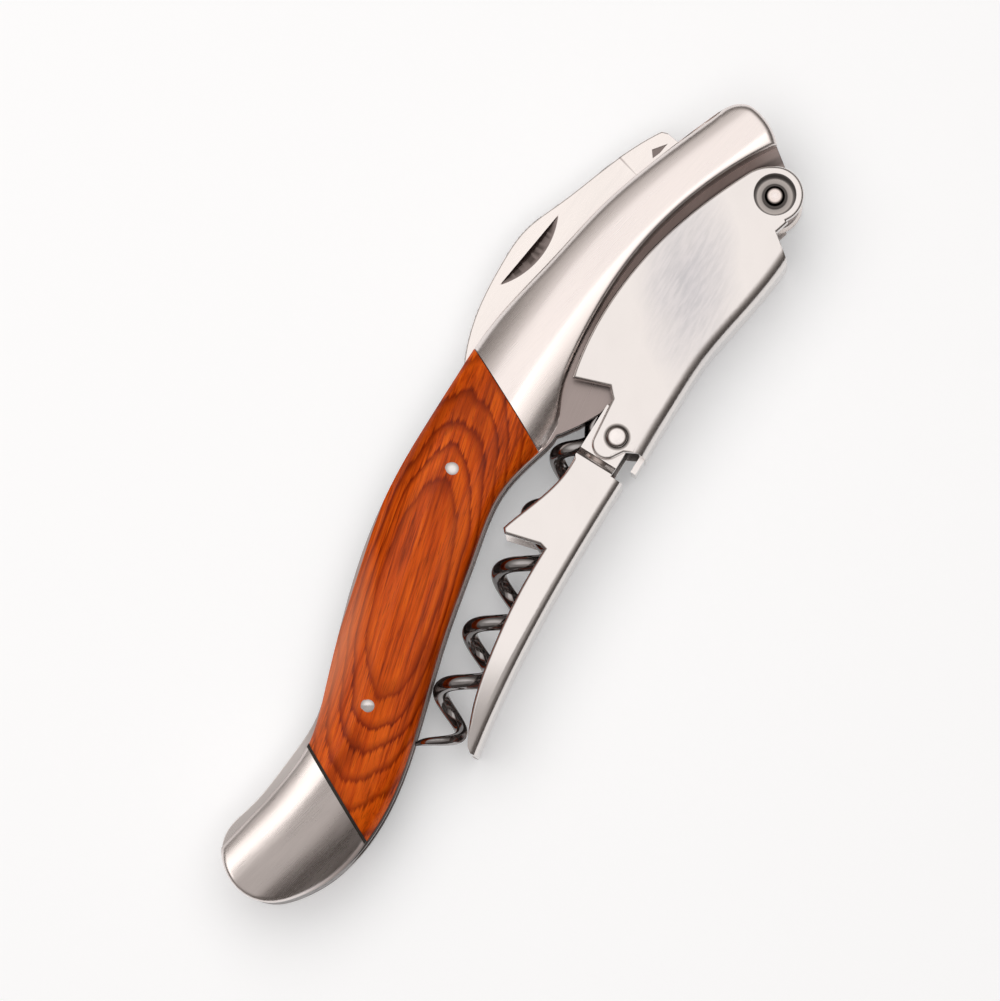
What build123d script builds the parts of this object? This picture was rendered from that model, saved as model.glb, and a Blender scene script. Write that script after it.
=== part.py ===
"""Double-hinged waiter's corkscrew, folded shut and lying on its side.

X runs from tail to head, Y from the lever side to the spine and Z up from the table.
The origin lies under the middle of the two scale pins, on the face that the handle rests on.
Every piece is symmetrical about the middle plane of the handle, at mid_height.
"""

import math
import os

from build123d import *

os.makedirs("parts", exist_ok=True)

# Heights of the handle's layers
slot_width = 3.0
liner_thickness = 1.2
scale_height = 4.0
dome_radius = 10.9
crown_flat_depth = 0.12

# Heights of the lever's layers, outwards from the middle plane
sheet = 1.0
flange_inside = 4.9
tab_drop = 0.05
bend_radius = 2.0
lower_bend_radius = 1.5

# Running and assembly clearances
pin_fit = 0.03
pivot_fit = 0.05
side_play = 0.05
seam_gap = 0.12

# Pivots in plan
hinge_x = 72.7
hinge_y = -13.85
upper_arm_length = 40.1
upper_arm_rise = 0.73
worm_pivot_x = 42.6
worm_pivot_y = -8.0
foil_pivot_x = 69.0
foil_pivot_y = 0.4
scale_pin_x = 16.9
scale_pin_y = 3.76

# Handle outline in plan
spine_points = [
    (-44.0, 3.2), (-38.4, 2.1), (-30.4, 0.75), (-26.3, 0.55), (-19.4, 2.3),
    (-8.7, 5.9), (2.4, 8.9), (14.5, 10.35), (27.4, 10.4), (37.5, 10.0),
    (48.6, 7.8), (59.0, 5.8), (68.6, 2.7), (78.3, -1.15),
]
nose_top = (80.7, -2.6)
nose_front = (81.5, -4.4)
nose_belly = (80.95, -7.1)
nose_heel = (78.9, -10.4)
belly_points = [
    (-32.8, -13.2), (-26.0, -13.05), (-14.6, -10.5), (-2.2, -7.05), (8.8, -4.7),
    (17.8, -3.3), (25.0, -4.7), (28.4, -5.35), (33.9, -3.4), (40.0, -2.05),
    (47.5, -1.5), (57.0, -2.05), (68.1, -4.95), (78.9, -10.4),
]
tail_points = [
    (-44.0, 3.2), (-46.9, 0.0), (-47.7, -3.35), (-46.9, -6.4),
    (-44.0, -9.45), (-38.3, -12.4), (-32.8, -13.2),
]
liner_lip = 0.3
strip_root = [(-44.0, 3.2), (-38.0, -1.0), (-24.0, -1.0), (-19.4, 2.3)]
strip_points = [
    (-19.4, 2.3), (-24.4, 1.6), (-28.5, 1.85), (-33.1, 2.25), (-37.2, 2.95), (-41.0, 3.85), (-44.0, 3.2),
]

# Crest of the dome in plan, with the radius of each bend
crest_points = [(92.0, -11.2), (58.0, 2.0), (21.0, 4.4), (-27.0, -7.6), (-58.0, -0.2)]
crest_radii = [95.0, 115.0, 52.0]

# Joints between the wood and the bolsters
head_joint = ((32.5, 9.6), (25.4, -4.9))
tail_joint = ((-25.9, 0.4), (-32.95, -13.3))
shim_thickness = 0.45

# Liner under the lever
eye_radius = 3.3
tongue_radius = 3.3

# Pins and rivets
pivot_pin_radius = 1.25
scale_pin_radius = 1.03
bolster_rivet_radius = 0.9
bolster_rivet_depth = 1.8
worm_pin_head_radius = 1.9
worm_pin_head = 0.45
head_rivet_points = [(36.5, 1.6), (55.0, 0.3)]
tail_rivet_points = [(-34.5, -4.8), (-41.5, -3.8)]

# Lever
arm_eye_radius = 4.0
dimple_radius = 3.7
recess_radius = 2.9
joint_rivet_radius = 1.1
joint_head_radius = 1.55
joint_head_height = 0.62
joint_inner_head = 0.3
hinge_head_radius = 1.72
hinge_ring_height = 0.35
hinge_dome_radius = 1.42
hinge_dome_height = 0.75

# Worm
worm_tilt = 5.73
wire_diameter = 2.2
worm_diameter = 7.4
worm_pitch = 9.1
talon_thickness = 2.8
talon_radius = 2.6
shank_length = 9.0
spread_length = 7.5
worm_length = 60.6
first_crest = 15.7
taper_length = 8.2
tip_radius = 0.12
taper_shape = 0.4

# Foil cutter
blade_thickness = 2.0
washer_thickness = 0.4
washer_radius = 1.9
tang_radius = 5.6
tang_seat = 0.3

# Worked out from the sizes above
mid_height = slot_width / 2 + liner_thickness + scale_height
liner_inside = slot_width / 2
liner_outside = slot_width / 2 + liner_thickness
flange_outside = flange_inside + sheet
tab_outside = flange_inside - tab_drop
tab_inside = tab_outside - sheet
hinge = (hinge_x, hinge_y)
joint = (hinge_x - upper_arm_length, hinge_y + upper_arm_rise)
worm_pivot = (worm_pivot_x, worm_pivot_y)
foil_pivot = (foil_pivot_x, foil_pivot_y)
scale_pins_at = [(scale_pin_x, scale_pin_y), (-scale_pin_x, -scale_pin_y)]
middle = Plane.XY.offset(mid_height)


def level(height):
    """Plane at a height above the middle plane."""
    return Plane.XY.offset(mid_height + height)


def plan_point(place):
    """Plan coordinates of a place in space."""
    return (place.X, place.Y)


def joint_plane(line, shift):
    """Upright plane through a joint line, moved towards the head by shift."""
    (x1, y1), (x2, y2) = line
    along = Vector(x2 - x1, y2 - y1, 0).normalized()
    across = along.cross(Vector(0, 0, 1)) * -1
    return Plane(origin=Vector(x1, y1, 0) + across * shift, x_dir=along, z_dir=across)


def write(part, name):
    """Label a finished piece and write its file."""
    part.label = name
    export_step(part, "parts/" + name + ".step")
    print(name, len(part.solids()), round(part.volume, 2))


def handle_outline(lip):
    """Edges round the whole handle, the belly lowered by lip."""
    belly = [(x, y - lip) for x, y in belly_points[:-1]] + [belly_points[-1]]
    tail = tail_points[:-1] + [belly[0]]
    Spline(*spine_points)
    ThreePointArc(spine_points[-1], nose_top, nose_front)
    ThreePointArc(nose_front, nose_belly, nose_heel)
    Spline(*belly)
    Spline(*tail)


# Domed blank that the scales and bolsters of one side are cut from
with BuildLine(level(liner_outside)) as crest:
    FilletPolyline(*crest_points, radius=crest_radii)
crest_start = crest.wire() @ 0
crest_heading = crest.wire() % 0
crest_side = Vector(0, 0, 1).cross(crest_heading)
crest_plane = Plane(origin=crest_start, x_dir=crest_side, z_dir=crest_heading)
dome_half_angle = math.radians(64)
dome_half_width = dome_radius * math.sin(dome_half_angle)
dome_top = scale_height + crown_flat_depth
dome_drop = dome_radius - dome_radius * math.cos(dome_half_angle)

with BuildPart() as dome:
    with BuildSketch(crest_plane):
        with BuildLine():
            ThreePointArc(
                (-dome_half_width, dome_top - dome_drop), (0, dome_top), (dome_half_width, dome_top - dome_drop)
            )
            Line((dome_half_width, dome_top - dome_drop), (-dome_half_width, dome_top - dome_drop))
        make_face()
    sweep(path=crest.wire())

with BuildPart() as blank:
    with BuildSketch(level(liner_outside)):
        with BuildLine():
            handle_outline(0)
        make_face()
    extrude(amount=scale_height)
    add(dome.part, mode=Mode.INTERSECT)

# Wood scale, head bolster and tail bolster of the upper side, flush with one another
head_side = joint_plane(head_joint, seam_gap / 2)
wood_head_end = joint_plane(head_joint, -seam_gap / 2)
wood_tail_end = joint_plane(tail_joint, shim_thickness / 2)
tail_side = joint_plane(tail_joint, -shim_thickness / 2)

with BuildPart() as wood_scale_top:
    add(blank.part)
    split(bisect_by=wood_head_end, keep=Keep.BOTTOM)
    split(bisect_by=wood_tail_end, keep=Keep.TOP)
    with Locations(*[level(liner_outside).location * Pos(x, y) for x, y in scale_pins_at]):
        Hole(scale_pin_radius + pin_fit, depth=2 * scale_height)

with BuildPart() as head_bolster_top:
    add(blank.part)
    split(bisect_by=head_side, keep=Keep.TOP)
    with Locations(*[level(liner_outside).location * Pos(x, y) for x, y in head_rivet_points]):
        Cylinder(
            bolster_rivet_radius + pin_fit,
            2 * (bolster_rivet_depth + pin_fit),
            mode=Mode.SUBTRACT,
        )

with BuildPart() as tail_bolster_top:
    add(blank.part)
    split(bisect_by=tail_side, keep=Keep.BOTTOM)
    with Locations(*[level(liner_outside).location * Pos(x, y) for x, y in tail_rivet_points]):
        Cylinder(
            bolster_rivet_radius + pin_fit,
            2 * (bolster_rivet_depth + pin_fit),
            mode=Mode.SUBTRACT,
        )

with BuildPart() as shim_top:
    add(blank.part)
    split(bisect_by=wood_tail_end, keep=Keep.BOTTOM)
    split(bisect_by=tail_side, keep=Keep.TOP)

# Liner: handle outline, strip proud of the tail bolster, and the plate under the lever
under_lever = [
    nose_heel,
    (hinge_x + 4.1, hinge_y + 0.6),
    (hinge_x + 3.0, hinge_y - 0.8),
    (hinge_x - 3.0, hinge_y + 0.3),
    (57.0, -13.4),
    (worm_pivot_x + 1.2, worm_pivot_y - tongue_radius),
    (worm_pivot_x - 1.0, worm_pivot_y - tongue_radius + 0.2),
    (34.4, -9.2),
    (31.4, -7.6),
    (29.2, -6.1),
    (28.4, -5.35),
    (40.0, -1.5),
    (60.0, -1.0),
    (nose_front[0] - 3.5, nose_front[1] + 1.0),
    (nose_heel[0] + 0.4, nose_heel[1] + 1.5),
]

with BuildPart() as top_liner:
    with BuildSketch(level(liner_inside)):
        with BuildLine():
            handle_outline(liner_lip)
        make_face()
        with BuildLine():
            Spline(*strip_points)
            Polyline(*strip_root)
        make_face()
        with BuildLine():
            Polyline(*under_lever, close=True)
        make_face()
        with Locations(hinge):
            Circle(eye_radius)
        with Locations(worm_pivot):
            Circle(tongue_radius)
        with Locations(hinge, worm_pivot, foil_pivot):
            Circle(pivot_pin_radius + pin_fit, mode=Mode.SUBTRACT)
        with Locations(*scale_pins_at):
            Circle(scale_pin_radius + pin_fit, mode=Mode.SUBTRACT)
        with Locations(*head_rivet_points, *tail_rivet_points):
            Circle(bolster_rivet_radius + pin_fit, mode=Mode.SUBTRACT)
    extrude(amount=liner_thickness)

# Back spring between the liners
spring_edge = 1.1
blade_tip = (26.8, 8.6)
blade_belly = [(33.0, 6.5), (46.0, 4.4), (56.0, 2.8)]
blade_gap = 0.5
tang_front = (foil_pivot_x - 3.6, foil_pivot_y - 1.2)
wing_reach = 7.0
seat_gap = 0.15
shank_slot_rise = 2.1

with BuildPart() as back_spring:
    with BuildSketch(level(-liner_inside)):
        with BuildLine():
            spring_belly = [(x, y + spring_edge) for x, y in belly_points[1:-3]]
            start = (belly_points[0][0] + 0.8, belly_points[0][1] + 0.1)
            Spline(*spine_points[:9])
            Polyline(
                spine_points[8],
                (blade_tip[0] - 0.6, blade_tip[1] + 0.2),
                (blade_tip[0] - 0.6, blade_tip[1] - blade_gap - 0.4),
                *[(x, y - blade_gap) for x, y in blade_belly],
                (tang_front[0], tang_front[1] - blade_gap),
                (foil_pivot_x - 4.6, -2.6),
                spring_belly[-1],
            )
            Spline(start, *spring_belly)
            Line(belly_points[0], start)
            Spline(*tail_points)
        make_face()
        with BuildLine():
            Spline(*strip_points)
            Polyline(*strip_root)
        make_face()
        with Locations((worm_pivot_x + 0.2, worm_pivot_y + talon_radius / 2)):
            Rectangle(2 * talon_radius + 1.2, wing_reach, align=(Align.CENTER, Align.MIN))
        with Locations(foil_pivot):
            Circle(tang_radius + tang_seat, mode=Mode.SUBTRACT)
        with Locations(worm_pivot):
            Circle(talon_radius + seat_gap, mode=Mode.SUBTRACT)
        with Locations((worm_pivot_x - talon_radius, worm_pivot_y - talon_radius + shank_slot_rise)):
            Rectangle(2 * talon_radius + 4.0, 2 * talon_radius, mode=Mode.SUBTRACT)
        with Locations(*scale_pins_at):
            Circle(scale_pin_radius + pin_fit, mode=Mode.SUBTRACT)
        with Locations(*head_rivet_points, *tail_rivet_points):
            Circle(bolster_rivet_radius + pin_fit, mode=Mode.SUBTRACT)
    extrude(amount=slot_width)

# Pins, rivets and the hinge bush, fixed in the handle
with BuildPart() as scale_pins:
    with BuildSketch(Plane.XY):
        with Locations(*scale_pins_at):
            Circle(scale_pin_radius)
    extrude(amount=2 * mid_height)

rivet_half = liner_outside + bolster_rivet_depth
with BuildPart() as head_bolster_rivets:
    with BuildSketch(level(-rivet_half)):
        with Locations(*head_rivet_points):
            Circle(bolster_rivet_radius)
    extrude(amount=2 * rivet_half)

with BuildPart() as tail_bolster_rivets:
    with BuildSketch(level(-rivet_half)):
        with Locations(*tail_rivet_points):
            Circle(bolster_rivet_radius)
    extrude(amount=2 * rivet_half)

with BuildPart() as worm_pin:
    with BuildSketch(level(-liner_outside)):
        with Locations(worm_pivot):
            Circle(pivot_pin_radius)
    extrude(amount=2 * liner_outside)
    for height in (liner_outside, -liner_outside - worm_pin_head):
        with BuildSketch(level(height)):
            with Locations(worm_pivot):
                Circle(worm_pin_head_radius)
        extrude(amount=worm_pin_head)
    outer_rims = worm_pin.edges().filter_by(GeomType.CIRCLE).sort_by(Axis.Z)
    chamfer([outer_rims[0], outer_rims[-1]], worm_pin_head * 0.4)

with BuildPart() as foil_cutter_pin:
    with BuildSketch(level(-liner_outside)):
        with Locations(foil_pivot):
            Circle(pivot_pin_radius)
    extrude(amount=2 * liner_outside)

with BuildPart() as foil_cutter_washers:
    for height in (blade_thickness / 2, -blade_thickness / 2 - washer_thickness):
        with BuildSketch(level(height)):
            with Locations(foil_pivot):
                Circle(washer_radius)
                Circle(pivot_pin_radius + pivot_fit, mode=Mode.SUBTRACT)
        extrude(amount=washer_thickness)

bush_radius = 2.6
with BuildPart() as hinge_bush:
    with BuildSketch(level(-liner_inside)):
        with Locations(hinge):
            Circle(bush_radius)
            Circle(pivot_pin_radius + pin_fit, mode=Mode.SUBTRACT)
    extrude(amount=slot_width)

# Lever hinge rivet, its two heads sunk in the dimples of the lever
dimple_floor = liner_outside + side_play
recess_floor = dimple_floor + sheet
head_seat = recess_floor + side_play
with BuildPart() as lever_hinge_rivet:
    with BuildSketch(level(-head_seat)):
        with Locations(hinge):
            Circle(pivot_pin_radius)
    extrude(amount=2 * head_seat)
    for side in (1, -1):
        with BuildSketch(level(side * head_seat)):
            with Locations(hinge):
                Circle(hinge_head_radius)
        extrude(amount=side * hinge_ring_height)
        with BuildSketch(level(side * (head_seat + hinge_ring_height))):
            with Locations(hinge):
                Circle(hinge_dome_radius)
        extrude(amount=side * hinge_dome_height)
    rims = lever_hinge_rivet.edges().filter_by(GeomType.CIRCLE).sort_by(Axis.Z)
    fillet([rims[0], rims[-1]], hinge_dome_height * 0.9)

# Upper arm of the lever: folded channel with hinge eyes, cap hook, notch and stop tongue
hx, hy = hinge
jx, jy = joint
arm_inner = [
    (hx + 0.8, hy + 4.75), (hx - 6.4, hy + 7.85), (hx - 14.5, hy + 10.3),
    (jx + 17.4, jy + 10.72), (jx + 10.4, jy + 10.67), (jx + 3.7, jy + 9.57),
]
notch_heel = (jx + 5.45, jy + 4.57)
notch_floor = (jx + 4.2, jy + 3.37)
lobe_start = (jx - 1.9, jy + 2.75)
lobe_left = (jx - 3.6, jy + 1.2)
lobe_end = (jx - 2.4, jy - 1.25)
slot_edge = (jx - 1.3, jy - 1.9)
web_end_x = jx - 0.4
tongue_tip_x = jx - 2.9
tongue_half = 3.0
tongue_lift = 0.1
arm_back = [
    (jx - 0.5, jy - 4.83), (jx + 4.4, jy - 4.68), (jx + 9.4, jy - 4.68), (jx + 14.7, jy - 4.78),
    (hx - 17.2, hy - 5.2), (hx - 7.1, hy - 6.45),
]
eye_shoulder = [(hx + 3.9, hy + 0.8), (hx + 2.55, hy + 3.35), arm_inner[0]]
hook_root = (hx - 4.5, hy - 3.05)
hook_shoulder = (hx - 2.4, hy - 3.6)


def offset_down(points, distance):
    """The same points moved towards the spine by distance."""
    return [(x, y + distance) for x, y in points]


def channel_bends(arm):
    """The two long outer edges where a folded channel's web meets its flanges."""
    long_edges = arm.edges().filter_by(lambda edge: edge.length > upper_arm_length * 0.7)
    outer = long_edges.filter_by(
        lambda edge: abs(abs((edge @ 0.5).Z - mid_height) - flange_outside) < side_play
    )
    return outer.sort_by(Axis.Y)[:2]


with BuildSketch() as upper_arm_plan:
    with BuildLine():
        Spline(*arm_inner)
        Polyline(arm_inner[-1], notch_heel, notch_floor, lobe_start)
        ThreePointArc(lobe_start, lobe_left, lobe_end)
        Polyline(lobe_end, slot_edge, (web_end_x, arm_back[0][1] + 1.2), arm_back[0])
        Spline(*arm_back)
        Polyline(arm_back[-1], hook_root, hook_shoulder, hinge, eye_shoulder[0])
        ThreePointArc(*eye_shoulder)
    make_face()
    with Locations(hinge):
        Circle(arm_eye_radius)

with BuildSketch() as upper_web_plan:
    with BuildLine():
        Spline(*arm_back)
        Line(arm_back[-1], (arm_back[-1][0], arm_back[-1][1] + sheet))
        Spline(*offset_down(arm_back, sheet))
        Line((arm_back[0][0], arm_back[0][1] + sheet), arm_back[0])
    make_face()

with BuildPart() as upper_lever_arm:
    with BuildSketch(level(-flange_outside)):
        add(upper_arm_plan.sketch)
    extrude(amount=2 * flange_outside)
    fillet(channel_bends(upper_lever_arm), bend_radius)
    with BuildSketch(level(-flange_inside)):
        with Locations(joint):
            Rectangle(3 * upper_arm_length, 2 * upper_arm_length)
        add(upper_web_plan.sketch, mode=Mode.SUBTRACT)
    extrude(amount=2 * flange_inside, mode=Mode.SUBTRACT)
    with BuildSketch(level(-tongue_half)):
        with Locations((tongue_tip_x, arm_back[0][1] + tongue_lift)):
            Rectangle(web_end_x + 1.0 - tongue_tip_x, sheet - 2 * tongue_lift, align=(Align.MIN, Align.MIN))
    extrude(amount=2 * tongue_half)
    for side in (1, -1):
        with Locations(Location((hx, hy, mid_height + side * (dimple_floor + flange_outside) / 2))):
            Cylinder(dimple_radius, flange_outside - dimple_floor)
        with Locations(Location((hx, hy, mid_height + side * (recess_floor + flange_outside) / 2))):
            Cylinder(recess_radius, flange_outside - recess_floor, mode=Mode.SUBTRACT)
    with Locations(Location((hx, hy, mid_height))):
        Cylinder(pivot_pin_radius + pivot_fit, 4 * flange_outside, mode=Mode.SUBTRACT)
    with Locations(Location((jx, jy, mid_height))):
        Cylinder(joint_rivet_radius + pivot_fit, 4 * flange_outside, mode=Mode.SUBTRACT)

# Lower arm of the lever: folded channel with a stepped end that turns inside the upper arm
step_x = jx - 4.85
step_run = 1.05
step_lap = 0.6
tab_right = jx + 3.2
tab_top = jy + 3.6
tab_bottom = jy - 2.1
tab_corner = 1.4
lower_back = [
    (jx - 5.1, jy - 4.0), (jx - 12.6, jy - 4.0), (jx - 22.6, jy - 4.25), (jx - 32.6, jy - 4.9), (jx - 47.5, jy - 6.85),
]
tooth_back = [(jx - 5.1, jy + 3.6), (jx - 8.6, jy + 3.6), (jx - 13.0, jy + 4.7), (jx - 18.85, jy + 6.7)]
tooth_tip = (jx - 19.5, jy + 6.1)
tooth_face = (jx - 18.2, jy + 1.2)
notch_corner = (jx - 18.4, jy + 0.35)
lower_inner = [
    (jx - 19.6, jy + 0.35), (jx - 26.1, jy + 0.1), (jx - 34.5, jy - 1.0), (jx - 40.7, jy - 2.4), (jx - 47.0, jy - 5.1),
]
lower_tip = (jx - 47.6, jy - 5.9)

with BuildSketch() as lower_arm_plan:
    with BuildLine():
        Spline(*tooth_back)
        Polyline(tooth_back[-1], tooth_tip, tooth_face, notch_corner, lower_inner[0])
        Spline(*lower_inner)
        Polyline(lower_inner[-1], lower_tip, lower_back[-1])
        Spline(*lower_back)
        Line(lower_back[0], tooth_back[0])
    make_face()

with BuildSketch() as lower_web_plan:
    with BuildLine():
        Spline(*lower_back)
        Line(lower_back[-1], (lower_back[-1][0], lower_back[-1][1] + sheet))
        Spline(*offset_down(lower_back, sheet))
        Line((lower_back[0][0], lower_back[0][1] + sheet), lower_back[0])
    make_face()

with BuildPart() as lever_tabs:
    with BuildSketch(Plane(origin=(0, 0, mid_height), x_dir=(1, 0, 0), z_dir=(0, -1, 0))):
        for side in (1, -1):
            with BuildLine():
                Polyline(
                    (step_x - step_lap, side * flange_inside),
                    (step_x - 0.1, side * flange_inside),
                    (step_x + step_run - 0.1, side * tab_inside),
                    (tab_right, side * tab_inside),
                    (tab_right, side * tab_outside),
                    (step_x + step_run + 0.1, side * tab_outside),
                    (step_x + 0.1, side * flange_outside),
                    (step_x - step_lap, side * flange_outside),
                    close=True,
                )
            make_face()
    extrude(amount=2 * upper_arm_length, both=True)
    with BuildSketch(level(-flange_outside)):
        with Locations(((step_x + tab_right) / 2, (tab_top + tab_bottom) / 2)):
            RectangleRounded(tab_right - step_x + 2 * tab_corner, tab_top - tab_bottom, tab_corner)
        with Locations((tab_right, (tab_top + tab_bottom) / 2)):
            Rectangle(2 * tab_corner, tab_top - tab_bottom, align=(Align.MIN, Align.CENTER), mode=Mode.SUBTRACT)
    extrude(amount=2 * flange_outside, mode=Mode.INTERSECT)

with BuildPart() as lower_lever_arm:
    with BuildSketch(level(-flange_outside)):
        add(lower_arm_plan.sketch)
    extrude(amount=2 * flange_outside)
    fillet(channel_bends(lower_lever_arm), lower_bend_radius)
    with BuildSketch(level(-flange_inside)):
        with Locations(joint):
            Rectangle(3 * upper_arm_length, 2 * upper_arm_length)
        add(lower_web_plan.sketch, mode=Mode.SUBTRACT)
    extrude(amount=2 * flange_inside, mode=Mode.SUBTRACT)
    add(lever_tabs.part)
    with Locations(Location((jx, jy, mid_height))):
        Cylinder(joint_rivet_radius + pivot_fit, 4 * flange_outside, mode=Mode.SUBTRACT)

# Two short rivets join the arms, one a side, because the worm lies between them
joint_head_seat = flange_outside + side_play
joint_clinch_seat = tab_inside - side_play
with BuildPart() as joint_rivet:
    with BuildSketch(level(joint_clinch_seat)):
        with Locations(joint):
            Circle(joint_rivet_radius)
    extrude(amount=joint_head_seat - joint_clinch_seat)
    with BuildSketch(level(joint_clinch_seat - joint_inner_head)):
        with Locations(joint):
            Circle(joint_head_radius)
    extrude(amount=joint_inner_head)
    with BuildSketch(level(joint_head_seat)):
        with Locations(joint):
            Circle(joint_head_radius)
    extrude(amount=joint_head_height)
    fillet(joint_rivet.edges().filter_by(GeomType.CIRCLE).sort_by(Axis.Z)[-1], joint_head_height * 0.95)

# Worm: a flat talon, a shank and a right-hand helix that ends in a point
worm_angle = math.radians(180 + worm_tilt)
worm_along = Vector(math.cos(worm_angle), math.sin(worm_angle), 0)
worm_across = Vector(math.sin(worm_angle), -math.cos(worm_angle), 0)
worm_centre = Vector(worm_pivot_x, worm_pivot_y, mid_height)
coil_radius = (worm_diameter - wire_diameter) / 2
spans_per_turn = 6


def worm_spot(distance):
    """Place and heading of the wire's centre at a distance along the worm's axis."""
    share = min(max((distance - shank_length) / spread_length, 0), 1)
    radius = coil_radius * share * share * (3 - 2 * share)
    growth = coil_radius * 6 * share * (1 - share) / spread_length
    turn = 2 * math.pi * (distance - first_crest) / worm_pitch
    turn_rate = 2 * math.pi / worm_pitch
    outward = worm_across * math.cos(turn) - Vector(0, 0, 1) * math.sin(turn)
    sideways = worm_across * -math.sin(turn) - Vector(0, 0, 1) * math.cos(turn)
    place = worm_centre + worm_along * distance + outward * radius
    heading = worm_along + outward * growth + sideways * (radius * turn_rate)
    return place, heading.normalized()


def biarc(start, end):
    """Two arcs that join a pair of spots with their headings kept."""
    (p1, t1), (p2, t2) = start, end
    chord = p2 - p1
    both = t1 + t2
    a = 2 * t1.dot(t2) - 2
    b = -2 * chord.dot(both)
    c = chord.dot(chord)
    reach = (-b - math.sqrt(b * b - 4 * a * c)) / (2 * a) if abs(a) > 1e-9 else -c / b
    q1 = p1 + t1 * reach
    q2 = p2 - t2 * reach
    middle_point = (q1 + q2) * 0.5
    TangentArc(p1, middle_point, tangent=t1)
    TangentArc(middle_point, p2, tangent=(q2 - q1).normalized())


coil_end = worm_length - taper_length
spans = round((coil_end - shank_length) / worm_pitch * spans_per_turn)
spots = [worm_spot(shank_length + (coil_end - shank_length) * i / spans) for i in range(spans + 1)]
wire_start = worm_centre + worm_along * (talon_radius * 0.6)

with BuildPart() as worm:
    with BuildLine() as worm_line:
        Line(wire_start, spots[0][0])
        for i in range(spans):
            biarc(spots[i], spots[i + 1])
    with BuildSketch(Plane(origin=wire_start, z_dir=worm_along)):
        Circle(wire_diameter / 2)
    sweep(path=worm_line.wire())

# The last turn tapers to the point
with BuildPart() as worm_tip:
    tip_stations = 9
    for i in range(tip_stations):
        share = i / (tip_stations - 1)
        place, heading = worm_spot(coil_end + taper_length * share)
        with BuildSketch(Plane(origin=place, z_dir=heading)):
            Circle(tip_radius + (wire_diameter / 2 - tip_radius) * (1 - share) ** taper_shape)
    loft()

with BuildPart() as talon:
    with BuildSketch(level(-talon_thickness / 2)):
        with Locations(worm_pivot):
            Circle(talon_radius)
        neck_start = worm_centre + worm_along * (talon_radius * 0.4)
        neck_end = worm_centre + worm_along * (talon_radius * 2.2)
        neck_half = talon_radius * 0.85
        with BuildLine():
            Polyline(
                plan_point(neck_start + worm_across * neck_half),
                plan_point(neck_end + worm_across * (wire_diameter / 2)),
                plan_point(neck_end - worm_across * (wire_diameter / 2)),
                plan_point(neck_start - worm_across * neck_half),
                close=True,
            )
        make_face()
        with Locations(worm_pivot):
            Circle(pivot_pin_radius + pivot_fit, mode=Mode.SUBTRACT)
    extrude(amount=talon_thickness)

with BuildPart() as worm_whole:
    add(worm.part)
    add(worm_tip.part)
    add(talon.part)

# Foil cutter: blade with tang, nail nick and a bevelled edge
fx, fy = foil_pivot
blade_back = [
    (fx + 3.65, fy + 4.15), (fx + 0.3, fy + 6.0), (fx - 5.8, fy + 8.5), (fx - 12.5, fy + 10.95),
    (fx - 18.1, fy + 13.0), (fx - 24.0, fy + 13.3), (fx - 31.9, fy + 12.5), (fx - 38.7, fy + 10.2),
    blade_tip,
]
blade_heel = (fx + 3.9, fy + 3.4)
nick_ends = ((fx - 13.2, fy + 10.1), (fx - 27.2, fy + 12.0))
nick_deep = (fx - 19.5, fy + 8.75)
nick_depth = 0.95
nick_middle = (Vector(*nick_ends[0]) + Vector(*nick_ends[1])) / 2
nick_half = (Vector(*nick_ends[0]) - Vector(*nick_ends[1])).length / 2
nick_bow = 2.3
nick_radius = (nick_half**2 + nick_bow**2) / (2 * nick_bow)
nick_chord = (Vector(*nick_ends[0]) - Vector(*nick_ends[1])).normalized()
nick_centre = nick_middle + Vector(-nick_chord.Y, nick_chord.X) * (nick_radius - nick_bow)
ground_depth = 0.12
plunge_line = [(fx - 0.1, fy + 16.0), (fx - 4.2, fy + 1.0), (fx - 60.0, fy + 1.0), (fx - 60.0, fy + 20.0)]
pocket = [(fx + 0.75, fy + 3.95), (fx + 2.6, fy + 2.5), (fx + 0.9, fy + 2.75), (fx - 0.25, fy + 3.2)]
pocket_depth = 0.35
grind_width = 1.8
edge_thickness = 0.3
grind_heel = Vector(*blade_belly[-1], mid_height)
grind_chord = Vector(*blade_tip, mid_height) - grind_heel
grind_length = grind_chord.length
grind_plane = Plane(
    origin=grind_heel, x_dir=grind_chord.normalized().cross(Vector(0, 0, 1)), z_dir=grind_chord.normalized()
)

with BuildSketch() as blade_plan:
    with BuildLine():
        Spline(*blade_back)
        Spline(blade_back[-1], *blade_belly)
        Line(blade_belly[-1], tang_front)
        Line(tang_front, (fx, fy - 3.2))
        Line((fx, fy - 3.2), (fx + 3.0, fy - 2.0))
        Line((fx + 3.0, fy - 2.0), blade_heel)
        Line(blade_heel, blade_back[0])
    make_face()

# The nail nick has a straight steep side and a conical floor that runs out to an arc
with BuildPart() as nail_nick:
    with BuildSketch(level(blade_thickness / 2)):
        with BuildLine():
            Line(*nick_ends)
            ThreePointArc(nick_ends[0], nick_deep, nick_ends[1])
        make_face()
    extrude(amount=-nick_depth)
    with Locations(Location((nick_centre.X, nick_centre.Y, mid_height + (blade_thickness - nick_depth) / 2))):
        Cone(nick_radius - nick_bow, nick_radius, nick_depth, mode=Mode.INTERSECT)

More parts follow.
